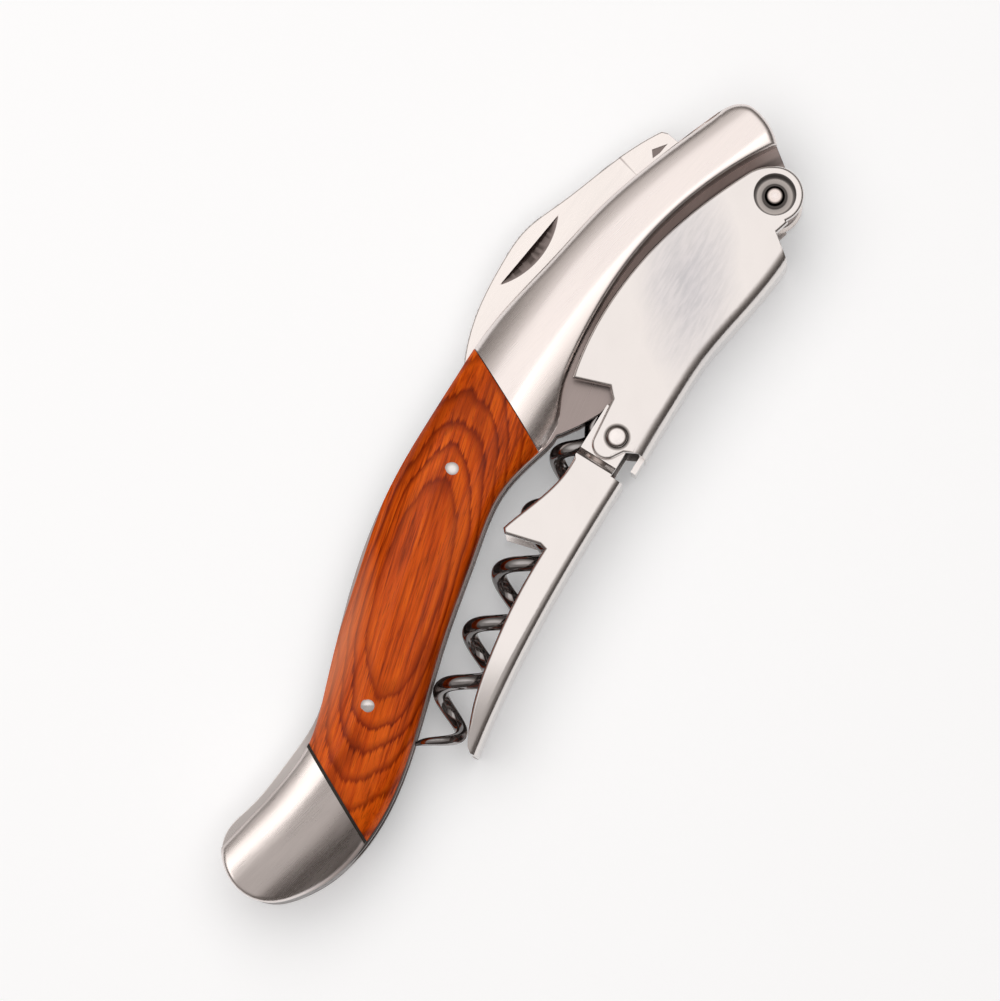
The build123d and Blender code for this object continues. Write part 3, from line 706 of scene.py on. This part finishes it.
def coordinates(tree, size=(1, 1, 1), degrees=0, centre=(0, 0, 0)):
    """Object coordinates, counted in cells of a size in millimetres that lie at an angle."""
    source = tree.nodes.new("ShaderNodeTexCoord").outputs["Object"]
    place = node(
        tree, "ShaderNodeMapping", Vector=source, Location=[c * MM for c in centre],
        Rotation=(0, 0, math.radians(degrees)), Scale=[s * MM for s in size],
    )
    place.vector_type = "TEXTURE"
    return place.outputs["Vector"]


def noise(tree, size, degrees=0, detail=3.0, rough=0.55):
    """Noise whose cells have a size in millimetres and lie at an angle."""
    made = node(
        tree, "ShaderNodeTexNoise", Vector=coordinates(tree, size, degrees),
        Scale=1.0, Detail=detail, Roughness=rough,
    )
    return made.outputs["Fac"]


def maths(tree, kind, first, second=None, third=None):
    """One sum on sockets or numbers."""
    made = tree.nodes.new("ShaderNodeMath")
    made.operation = kind
    for socket, value in zip(made.inputs, (first, second, third)):
        if value is not None:
            feed(tree, socket, value)
    return made.outputs[0]


def vectors(tree, kind, *values):
    """One step of vector maths on sockets or triples."""
    made = tree.nodes.new("ShaderNodeVectorMath")
    made.operation = kind
    for socket, value in zip(made.inputs, values):
        feed(tree, socket, value)
    return made.outputs["Value" if kind in ("LENGTH", "DOT_PRODUCT") else "Vector"]


def oval(tree, size, degrees, centre):
    """Distance from a centre, as a share of an oval's half axes in millimetres."""
    return vectors(tree, "LENGTH", coordinates(tree, size, degrees, centre))


def plan_distance(tree, x, y):
    """Distance in plan from a place, in millimetres."""
    flat = vectors(tree, "MULTIPLY", coordinates(tree, centre=(x, y, 0)), (1, 1, 0))
    return vectors(tree, "LENGTH", flat)


def spread(tree, factor, low, high, start=0.3, end=0.7):
    """A factor's range from start to end, spread from low to high."""
    made = node(
        tree, "ShaderNodeMapRange", Value=factor, From_Min=start, From_Max=end, To_Min=low, To_Max=high,
    )
    return made.outputs["Result"]


def surface(tree, shader, colour, roughness, height=None, strength=0.0, metallic=1.0):
    """Set a shader's colour and roughness, and a faint bump from a height."""
    tune(tree, shader, Base_Color=colour, Roughness=roughness, Metallic=metallic)
    if height:
        relief = node(tree, "ShaderNodeBump", Height=height, Strength=strength, Distance=BUMP_DEPTH)
        tune(tree, shader, Normal=relief.outputs["Normal"])


def ramp(tree, factor, stops):
    """Colour ramp through (place, colour) stops."""
    made = node(tree, "ShaderNodeValToRGB", Fac=factor)
    elements = made.color_ramp.elements
    while len(elements) < len(stops):
        elements.new(0.5)
    for element, (place, colour) in zip(elements, stops):
        element.position = place
        element.color = (*colour, 1)
    return made.outputs["Color"]


def mixed(tree, kind, first, second, factor=1.0):
    """Colour mix of two sockets or colours."""
    made = tree.nodes.new("ShaderNodeMix")
    made.data_type = "RGBA"
    made.blend_type = kind
    feed(tree, made.inputs["Factor"], factor)
    for socket, value in ((made.inputs[6], first), (made.inputs[7], second)):
        feed(tree, socket, value if isinstance(value, bpy.types.NodeSocket) else (*value, 1))
    return made.outputs[2]


def shade(colour, level):
    """A colour at a level of brightness."""
    return tuple(min(1.0, c * level) for c in colour)


def satin_steel(name, colour, degrees, rough=(0.24, 0.36)):
    """Satin steel with fine brushing along one direction."""
    material, tree, shader = new_material(name)
    fine = noise(tree, (3.0, 0.16, 0.16), degrees, 4.0, 0.7)
    bands = noise(tree, (14.0, 2.4, 2.4), degrees, 2.0, 0.5)
    both = maths(tree, "MULTIPLY_ADD", fine, 0.5, maths(tree, "MULTIPLY", bands, 0.5))
    plain = ramp(tree, both, [(0.36, shade(colour, 0.93)), (0.64, shade(colour, 1.04))])
    surface(tree, shader, plain, spread(tree, both, *rough, 0.38, 0.62), fine, 0.035)
    return material, tree, shader


def liner_steel(name, colour, degrees):
    """Satin steel with painted shade in the narrow groove beside the head bolster, and painted light and
    shade at the tail.
    """
    material, tree, shader = new_material(name)
    fine = noise(tree, (7.0, 0.14, 0.14), degrees, 3.0, 0.6)
    bands = noise(tree, (9.0, 5.0, 5.0), degrees, 2.0, 0.5)
    both = maths(tree, "MULTIPLY_ADD", fine, 0.4, maths(tree, "MULTIPLY", bands, 0.6))
    plain = ramp(tree, both, [(0.36, shade(colour, 0.84)), (0.64, shade(colour, 1.06))])
    # Painted light along the spine and painted shade along the belly at the tail
    tail = ramp(tree, maths(tree, "MULTIPLY_ADD", split(tree, "X"), -0.01, 0.0), TAIL_STOPS)
    side = maths(tree, "MULTIPLY_ADD", split(tree, "Y"), 0.05, 0.5)
    sides = ramp(tree, side, [(0.25, TAIL_SHADE), (0.45, TAIL_LIT)])
    plain = mixed(tree, "MIX", plain, sides, tail)
    # Painted shade in the narrow groove beside the head bolster
    centre_x, centre_y, radius = GROOVE_ARC
    inward = maths(tree, "SUBTRACT", radius, plan_distance(tree, centre_x, centre_y))
    across = maths(tree, "MULTIPLY_ADD", inward, 1.0 / GROOVE_SPAN, 0.25)
    painted_shade = ramp(tree, across, GROOVE_SHADES)
    along = ramp(tree, maths(tree, "DIVIDE", split(tree, "X"), 100.0), [
        (0.40, (0, 0, 0)), (0.46, (1, 1, 1)), (0.75, (1, 1, 1)), (0.79, (0.3, 0.3, 0.3)),
    ])
    near = ramp(tree, across, [(0.62, (1, 1, 1)), (0.74, (0, 0, 0))])
    dark = mixed(tree, "MIX", plain, painted_shade, mixed(tree, "MULTIPLY", near, along))
    surface(tree, shader, dark, spread(tree, both, 0.26, 0.38, 0.38, 0.62), fine, 0.05)
    return material


def blade_steel(name, colour, degrees):
    """Satin steel with painted shade in the nail nick, in the pocket by the pivot and in the corner of the
    ground step.
    """
    material, tree, shader = satin_steel(name, colour, degrees, (0.18, 0.28))
    plain = shader.inputs["Base Color"].links[0].from_socket
    # Painted shade on the sunk floor of the nick and of the pocket
    depth = maths(tree, "SUBTRACT", BLADE_TOP, split(tree, "Z"))
    sunk = ramp(tree, depth, [(0.135, (0, 0, 0)), (0.17, (1, 1, 1))])
    places = [
        ramp(tree, oval(tree, *place), [(0.98, (1, 1, 1)), (1.0, (0, 0, 0))])
        for place in NICK_AND_POCKET_SHADES
    ]
    inside = mixed(tree, "MULTIPLY", mixed(tree, "ADD", *places), sunk)
    dark = mixed(tree, "MIX", plain, NICK_FLOOR_SHADE, inside)
    # Painted shade in the corner of the ground step
    step = ramp(tree, oval(tree, *STEP_SHADE), [(0.35, (0.9, 0.9, 0.9)), (1.0, (0, 0, 0))])
    tune(tree, shader, Base_Color=mixed(tree, "MIX", dark, STEP_CORNER_SHADE, step))
    return material


def paint_flank_shade(tree, shader):
    """Painted shade: darken a bolster's steel low on its flanks, by the distance from the middle plane."""
    plain = shader.inputs["Base Color"].links[0].from_socket
    height = maths(tree, "ABSOLUTE", maths(tree, "SUBTRACT", split(tree, "Z"), MID_HEIGHT / MM))
    flank = ramp(tree, maths(tree, "DIVIDE", height, 10.0), FLANK_STOPS)
    tune(tree, shader, Base_Color=mixed(tree, "MULTIPLY", plain, flank))


def ring_shade(tree, centre, stops):
    """Painted shade: warm grey by the distance in plan from a centre, both in millimetres."""
    span = stops[-1][0]
    return ramp(tree, maths(tree, "DIVIDE", plan_distance(tree, *centre), span), [
        (stop / span, (level, level * 0.96, level * 0.93) if level < 1 else (1, 1, 1))
        for stop, level in stops
    ])


def split(tree, axis):
    """One of the Object coordinates in millimetres."""
    parts = node(tree, "ShaderNodeSeparateXYZ", Vector=coordinates(tree))
    return parts.outputs[axis]


def polished_lever(name, colour):
    """Polished sheet with a patch of soft rubbed marks in the middle of the upper arm, and painted shade
    round its hinge recess and joint rivet.
    """
    material, tree, shader = new_material(name)
    rubs = noise(tree, (3.2, 0.55, 0.55), 2, 3.0, 0.6)
    clouds = noise(tree, (9.0, 6.0, 6.0), 20, 2.0, 0.5)
    reach = maths(tree, "ADD", clouds, oval(tree, *RUBBED_PATCH))
    dull, bright = (tuple(c * level for c, level in zip(colour, levels)) for levels in RUB_LEVELS)
    rubbed = ramp(tree, rubs, [(0.36, dull), (0.62, bright)])
    face = mixed(tree, "MIX", colour, rubbed, spread(tree, reach, 1.0, 0.0, 0.7, 1.75))
    # Painted shade and lighter painted rings in the hinge recess, and painted shade round the joint rivet
    face = mixed(tree, "MULTIPLY", face, ring_shade(tree, HINGE_PLACE, HINGE_RINGS))
    face = mixed(tree, "MULTIPLY", face, ring_shade(tree, RIVET_PLACE, RIVET_RINGS))
    lines = noise(tree, (5.0, 0.2, 0.2), 2, 2.0, 0.5)
    surface(tree, shader, face, spread(tree, clouds, 0.15, 0.24), lines, 0.006)
    return material


def figured_wood(name, settings):
    """Orange-brown wood, its rings nested round the middle of the scale, under clear lacquer with a
    painted sheen along part of its spine side.
    """
    material, tree, shader = new_material(name)
    rings = coordinates(tree, *WOOD_RINGS)
    sway = node(
        tree, "ShaderNodeTexNoise", Vector=coordinates(tree, *WOOD_SWAY), Scale=1.0, Detail=1.5,
    )
    centred = vectors(tree, "SUBTRACT", sway.outputs["Color"], (0.5, 0.5, 0.5))
    bent = vectors(tree, "MULTIPLY_ADD", centred, (0.42, 0.42, 0.0), rings)

    streaks = noise(tree, (13.0, 0.5, 0.5), WOOD_LEAN, 5.0, 0.6)
    pores = noise(tree, (2.6, 0.16, 0.16), WOOD_LEAN, 3.0, 0.6)
    clouds = noise(tree, (15.0, 4.0, 4.0), WOOD_LEAN, 2.0, 0.5)
    out = maths(tree, "ADD", vectors(tree, "LENGTH", bent), -0.08)
    feather = maths(tree, "MULTIPLY_ADD", streaks, 0.16, out)
    feather = maths(tree, "MULTIPLY_ADD", pores, 0.07, maths(tree, "ADD", feather, -0.035))
    place = maths(tree, "DIVIDE", feather, RING_SPAN)
    lines = ramp(tree, place, [(stop / RING_SPAN, (level,) * 3) for stop, level in RING_STOPS])

    deep = shade(settings.wood_colour, 0.62)
    body = ramp(tree, streaks, [
        (0.22, settings.wood_dark), (0.37, deep), (0.48, settings.wood_colour),
        (0.68, settings.wood_light),
    ])
    warm = mixed(tree, "MIX", body, deep, ramp(tree, clouds, [
        (0.36, (0.75, 0.75, 0.75)), (0.50, (0, 0, 0)),
    ]))
    warm = mixed(tree, "MIX", warm, settings.wood_light, ramp(tree, clouds, [
        (0.52, (0, 0, 0)), (0.70, (0.55, 0.55, 0.55)),
    ]))
    dots = ramp(tree, pores, [(0.32, (0.22, 0.22, 0.22)), (0.46, (1, 1, 1))])
    ringed = mixed(tree, "MULTIPLY", warm, mixed(tree, "MIX", settings.wood_dark, (1, 1, 1), lines), 0.97)
    finished = mixed(tree, "MULTIPLY", ringed, dots, 0.5)
    # Painted sheen: a pale reflection on the lacquer
    sheen = ramp(tree, oval(tree, *WOOD_SHEEN), [(0.2, (0.55, 0.55, 0.55)), (1.0, (0, 0, 0))])
    finished = mixed(tree, "MIX", finished, SHEEN_COLOUR, sheen)
    surface(tree, shader, finished, 0.5, pores, 0.06, metallic=0.0)
    tune(tree, shader, Specular_IOR_Level=0.0, Coat_Weight=0.2, Coat_Roughness=0.2)
    return material


def polished_metal(name, colour, roughness, head=None, painted_shade=()):
    """Bright metal with faint smears, and with painted shade round the rim of a rivet's head."""
    material, tree, shader = new_material(name)
    smears = noise(tree, (1.7, 1.7, 1.7), 0, 4.0, 0.6)
    face = ramp(tree, smears, [(0.3, shade(colour, 0.9)), (0.7, shade(colour, 1.05))])
    # Painted shade toward the rim of a rivet's head
    if head:
        face = mixed(tree, "MULTIPLY", face, ring_shade(tree, head, painted_shade))
    surface(tree, shader, face, spread(tree, smears, roughness * 0.7, roughness * 1.3))
    return material


def dark_fibre(name):
    """Thin dark strip between wood and steel."""
    material, tree, shader = new_material(name)
    flecks = noise(tree, (0.25, 0.25, 0.25))
    tint = ramp(tree, flecks, [(0.3, (0.012, 0.009, 0.007)), (0.7, (0.05, 0.04, 0.03))])
    surface(tree, shader, tint, 0.6, metallic=0.0)
    return material


# One operator for each piece or group of like pieces

class CORKSCREW_OT_wood_scales(bpy.types.Operator):
    """Make the two wood scales"""

    bl_idname = "corkscrew.wood_scales"
    bl_label = "Wood scales"

    def execute(self, context):
        settings = context.scene.corkscrew_handle
        wood = figured_wood("figured_wood", settings)
        top = domed_piece(
            "wood_scale_top", "wood_scale_upper", *WOOD_PLAN,
            {"belly": 2 * settings.rim_round, "spine": 1.6 * settings.rim_round}, WOOD_SINK,
        )
        give(top, wood)
        lower = mirrored(top, "wood_scale_lower")
        for piece in (top, lower):
            piece.visible_diffuse = False
        dress(top, "wood_scale_top", "handle")
        dress(lower, "wood_scale_bottom", "handle")
        return {"FINISHED"}


class CORKSCREW_OT_head_bolsters(bpy.types.Operator):
    """Make the two brushed bolsters at the head"""

    bl_idname = "corkscrew.head_bolsters"
    bl_label = "Head bolsters"

    def execute(self, context):
        settings = context.scene.corkscrew_handle
        steel = satin_steel("brushed_head", context.scene.corkscrew_steel.bolster, degrees=-11)[0]
        rim = 2 * settings.rim_round
        top = domed_piece(
            "head_bolster_top", "head_bolster_upper", *HEAD_PLAN,
            {"belly": settings.belly_round, "spine": rim, "head": rim},
        )
        give(top, steel)
        lower = mirrored(top, "head_bolster_lower")
        dress(top, "head_bolster_top", "handle")
        dress(lower, "head_bolster_bottom", "handle")
        return {"FINISHED"}


class CORKSCREW_OT_tail_bolsters(bpy.types.Operator):
    """Make the two brushed bolsters at the tail, with the strips at their joints"""

    bl_idname = "corkscrew.tail_bolsters"
    bl_label = "Tail bolsters"

    def execute(self, context):
        settings = context.scene.corkscrew_handle
        colour = context.scene.corkscrew_steel.bolster
        steel, tree, shader = satin_steel("brushed_tail", colour, degrees=-13)
        # Painted shade low on the flanks
        paint_flank_shade(tree, shader)
        belly = settings.belly_round
        top = domed_piece(
            "tail_bolster_top", "tail_bolster_upper", *TAIL_PLAN,
            {"belly": belly, "spine": settings.rim_round, "tail": belly},
        )
        give(top, steel)
        lower = mirrored(top, "tail_bolster_lower")
        dress(top, "tail_bolster_top", "handle")
        dress(lower, "tail_bolster_bottom", "handle")
        give(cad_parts["tail_joint_shims"], dark_fibre("dark_fibre"))
        return {"FINISHED"}


class CORKSCREW_OT_liners(bpy.types.Operator):
    """Make the liners and the back spring between them"""

    bl_idname = "corkscrew.liners"
    bl_label = "Liners and back spring"

    def execute(self, context):
        steel = liner_steel("liner_satin", LINER_COLOUR, degrees=8)
        for name, piece_name in (
            ("top_liner", "liner_upper"), ("bottom_liner", "liner_lower"), ("back_spring", "spring"),
        ):
            piece = copy_of(name, piece_name)
            soften(piece)
            give(piece, steel)
            dress(piece, name, "handle")
        return {"FINISHED"}


class CORKSCREW_OT_pins(bpy.types.Operator):
    """Finish the pins, rivets and washers fixed in the handle"""

    bl_idname = "corkscrew.pins"
    bl_label = "Pins and rivets"

    def execute(self, context):
        bright = polished_metal(*PIN_METAL)
        x, y = SCALE_PIN
        pins = [
            domed_pin(side * x, side * y, SCALE_PIN_RADIUS, CROWN_HEIGHT - MID_HEIGHT, SCALE_PIN_RISE)
            for side in (1, -1)
        ]
        scale_pins = joined(pins, "scale_pins_domed")
        smooth(scale_pins, 40)
        give(scale_pins, bright)
        dress(scale_pins, "scale_pins", "handle")
        for name in ("head_bolster_rivets", "tail_bolster_rivets", "worm_pin", "foil_cutter_pin"):
            give(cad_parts[name], bright)
        give(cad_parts["hinge_bush"], polished_metal(*BUSH_METAL))
        # Hinge rivet's head with painted shade toward its rim
        give(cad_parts["lever_hinge_rivet"], polished_metal(
            *HINGE_METAL, HINGE_PLACE, HINGE_HEAD,
        ))
        give(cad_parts["foil_cutter_washers"], polished_metal(*WASHER_METAL))
        return {"FINISHED"}


class CORKSCREW_OT_lever(bpy.types.Operator):
    """Make the two channel arms of the lever and finish their rivets"""

    bl_idname = "corkscrew.lever"
    bl_label = "Lever"

    def execute(self, context):
        settings = context.scene.corkscrew_steel
        steel = polished_lever("lever_polished", settings.lever)
        for name, piece_name, body in (
            ("upper_lever_arm", "lever_arm_upper", "upper_arm"),
            ("lower_lever_arm", "lever_arm_lower", "lower_arm"),
        ):
            piece = copy_of(name, piece_name)
            round_faces(piece, settings.edge_round, LEVER_SPARED)
            soften(piece)
            give(piece, steel)
            dress(piece, name, body)
        # Joint rivets' heads with painted shade toward their rims
        give(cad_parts["lever_joint_rivets"], polished_metal(
            *JOINT_METAL, RIVET_PLACE, JOINT_HEAD,
        ))
        return {"FINISHED"}


class CORKSCREW_OT_worm(bpy.types.Operator):
    """Make the worm"""

    bl_idname = "corkscrew.worm"
    bl_label = "Worm"

    def execute(self, context):
        plating = polished_metal("worm_plating", context.scene.corkscrew_steel.worm, roughness=0.12)
        piece = copy_of("worm", "worm_coil")
        smooth(piece, 40)
        give(piece, plating)
        dress(piece, "worm", "worm")
        return {"FINISHED"}


class CORKSCREW_OT_foil_cutter(bpy.types.Operator):
    """Make the foil cutter's blade"""

    bl_idname = "corkscrew.foil_cutter"
    bl_label = "Foil cutter"

    def execute(self, context):
        steel = blade_steel("blade_satin", BLADE_COLOUR, degrees=-4)
        piece = copy_of("foil_cutter_blade", "blade")
        round_faces(piece, BLADE_ROUND, BLADE_SPARED, GROUND_REACH)
        keep_flat(piece, 28)
        give(piece, steel)
        dress(piece, "foil_cutter_blade", "foil_cutter")
        return {"FINISHED"}


class CORKSCREW_OT_studio(bpy.types.Operator):
    """Set the pale floor, the soft lights and the camera"""

    bl_idname = "corkscrew.studio"
    bl_label = "Studio"

    def execute(self, context):
        settings = context.scene.corkscrew_studio
        start_clean()
        bpy.ops.mesh.primitive_plane_add(size=6, location=(0, 0, 0))
        floor = bpy.context.active_object
        floor.name = "floor"
        material, tree, shader = new_material("pale_floor")
        tune(
            tree, shader, Base_Color=(*settings.floor_colour, 1), Roughness=0.9, Specular_IOR_Level=0.1,
            Emission_Color=(0.97, 0.99, 1, 1), Emission_Strength=settings.floor_glow,
        )
        give(floor, material)

        toward = Vector(VIEW).normalized()
        up = Vector(PICTURE_UP)
        up = (up - toward * up.dot(toward)).normalized()
        right = up.cross(toward)
        target = Vector(PICTURE_MIDDLE) * MM
        camera_data = bpy.data.cameras.new("camera")
        camera = bpy.data.objects.new("camera", camera_data)
        context.scene.collection.objects.link(camera)
        camera_data.lens = settings.lens
        camera_data.sensor_width = SENSOR_WIDTH
        distance = settings.view_width * settings.lens / SENSOR_WIDTH
        camera_data.clip_start = 0.01
        basis = Matrix((right, up, toward)).transposed().to_4x4()
        camera.matrix_world = Matrix.Translation(target + toward * distance) @ basis
        context.scene.camera = camera

        def offset(place):
            """Way from the middle of the picture to a place given in its directions."""
            return (right * place[0] + up * place[1] + Vector((0, 0, place[2]))) * MM

        for name, (place, aim, size, lit_names) in PANELS.items():
            data = bpy.data.lights.new(name, "AREA")
            data.shape = "SQUARE"
            data.size = size * MM
            data.energy = getattr(settings, name) * math.pi * data.size ** 2
            data.color = PANEL_COLOUR
            data.cycles.use_multiple_importance_sampling = name != "floor_panel"
            lamp = bpy.data.objects.new(name, data)
            context.scene.collection.objects.link(lamp)
            lamp.location = target + offset(place)
            lamp.rotation_euler = (offset(place) - offset(aim)).to_track_quat("Z", "Y").to_euler()
            lamp.visible_camera = False
            lit = bpy.data.collections.new("lit_by_" + name)
            for lit_name in lit_names:
                lit.objects.link(bpy.data.objects[lit_name])
            lamp.light_linking.receiver_collection = lit

        bpy.ops.mesh.primitive_plane_add(size=1, location=target + offset(FLAG_PLACE))
        flag = bpy.context.active_object
        flag.name = "tail_flag"
        flag.scale = FLAG_SIZE
        flag.rotation_euler = (0, 0, math.atan2(right.y, right.x))
        material, tree, shader = new_material("flag_grey")
        slant = maths(tree, "MULTIPLY_ADD", split(tree, "X"), 0.0005, maths(
            tree, "MULTIPLY_ADD", split(tree, "Y"), -0.001, 0.5,
        ))
        tune(
            tree, shader, Base_Color=(0, 0, 0, 1), Specular_IOR_Level=0.0,
            Emission_Color=ramp(tree, slant, FLAG_STOPS), Emission_Strength=settings.flag_glow,
        )
        give(flag, material)
        flag.visible_camera = False
        flag.visible_diffuse = False
        flag.visible_shadow = False

        world = bpy.data.worlds.new("studio")
        world.use_nodes = True
        context.scene.world = world
        sky = world.node_tree
        way = sky.nodes.new("ShaderNodeTexCoord").outputs["Generated"]

        def toward_light(centre, stops):
            """Brightness by how near the direction looked in is to the brightest one."""
            near = vectors(sky, "DOT_PRODUCT", way, offset(centre).normalized())
            return ramp(sky, maths(sky, "MULTIPLY_ADD", near, 0.5, 0.5), stops)

        both = mixed(sky, "ADD", *(
            toward_light(*light) for light in ((SKY_CENTRE, SKY_STOPS), (GLOW_CENTRE, GLOW_STOPS))
        ))
        tune(sky, sky.nodes["Background"], Color=both, Strength=settings.sky_strength)
        context.scene.view_settings.view_transform = "Standard"
        context.scene.view_settings.look = "None"
        return {"FINISHED"}


class CORKSCREW_PT_panel(bpy.types.Panel):
    """Lists the corkscrew's operators and settings"""

    bl_idname = "CORKSCREW_PT_panel"
    bl_label = "Corkscrew"
    bl_space_type = "VIEW_3D"
    bl_region_type = "UI"
    bl_category = "Corkscrew"

    def draw(self, context):
        column = self.layout.column()
        for operator in OPERATORS:
            column.operator(operator.bl_idname)
        for group in ("corkscrew_handle", "corkscrew_steel", "corkscrew_studio"):
            settings = getattr(context.scene, group)
            for name in settings.__annotations__:
                column.prop(settings, name)


GROUPS = {
    "corkscrew_handle": HandleSettings,
    "corkscrew_steel": SteelSettings,
    "corkscrew_studio": StudioSettings,
}
OPERATORS = (
    CORKSCREW_OT_wood_scales,
    CORKSCREW_OT_head_bolsters,
    CORKSCREW_OT_tail_bolsters,
    CORKSCREW_OT_liners,
    CORKSCREW_OT_pins,
    CORKSCREW_OT_lever,
    CORKSCREW_OT_worm,
    CORKSCREW_OT_foil_cutter,
    CORKSCREW_OT_studio,
)


def register():
    for name, group in GROUPS.items():
        bpy.utils.register_class(group)
        setattr(bpy.types.Scene, name, bpy.props.PointerProperty(type=group))
    for operator in OPERATORS:
        bpy.utils.register_class(operator)
    bpy.utils.register_class(CORKSCREW_PT_panel)


def unregister():
    bpy.utils.unregister_class(CORKSCREW_PT_panel)
    for operator in reversed(OPERATORS):
        bpy.utils.unregister_class(operator)
    for name, group in reversed(GROUPS.items()):
        delattr(bpy.types.Scene, name)
        bpy.utils.unregister_class(group)


def main():
    register()
    bpy.ops.corkscrew.wood_scales()
    bpy.ops.corkscrew.head_bolsters()
    bpy.ops.corkscrew.tail_bolsters()
    bpy.ops.corkscrew.liners()
    bpy.ops.corkscrew.pins()
    bpy.ops.corkscrew.lever()
    bpy.ops.corkscrew.worm()
    bpy.ops.corkscrew.foil_cutter()
    bpy.ops.corkscrew.studio()


if __name__ == "__main__":
    main()
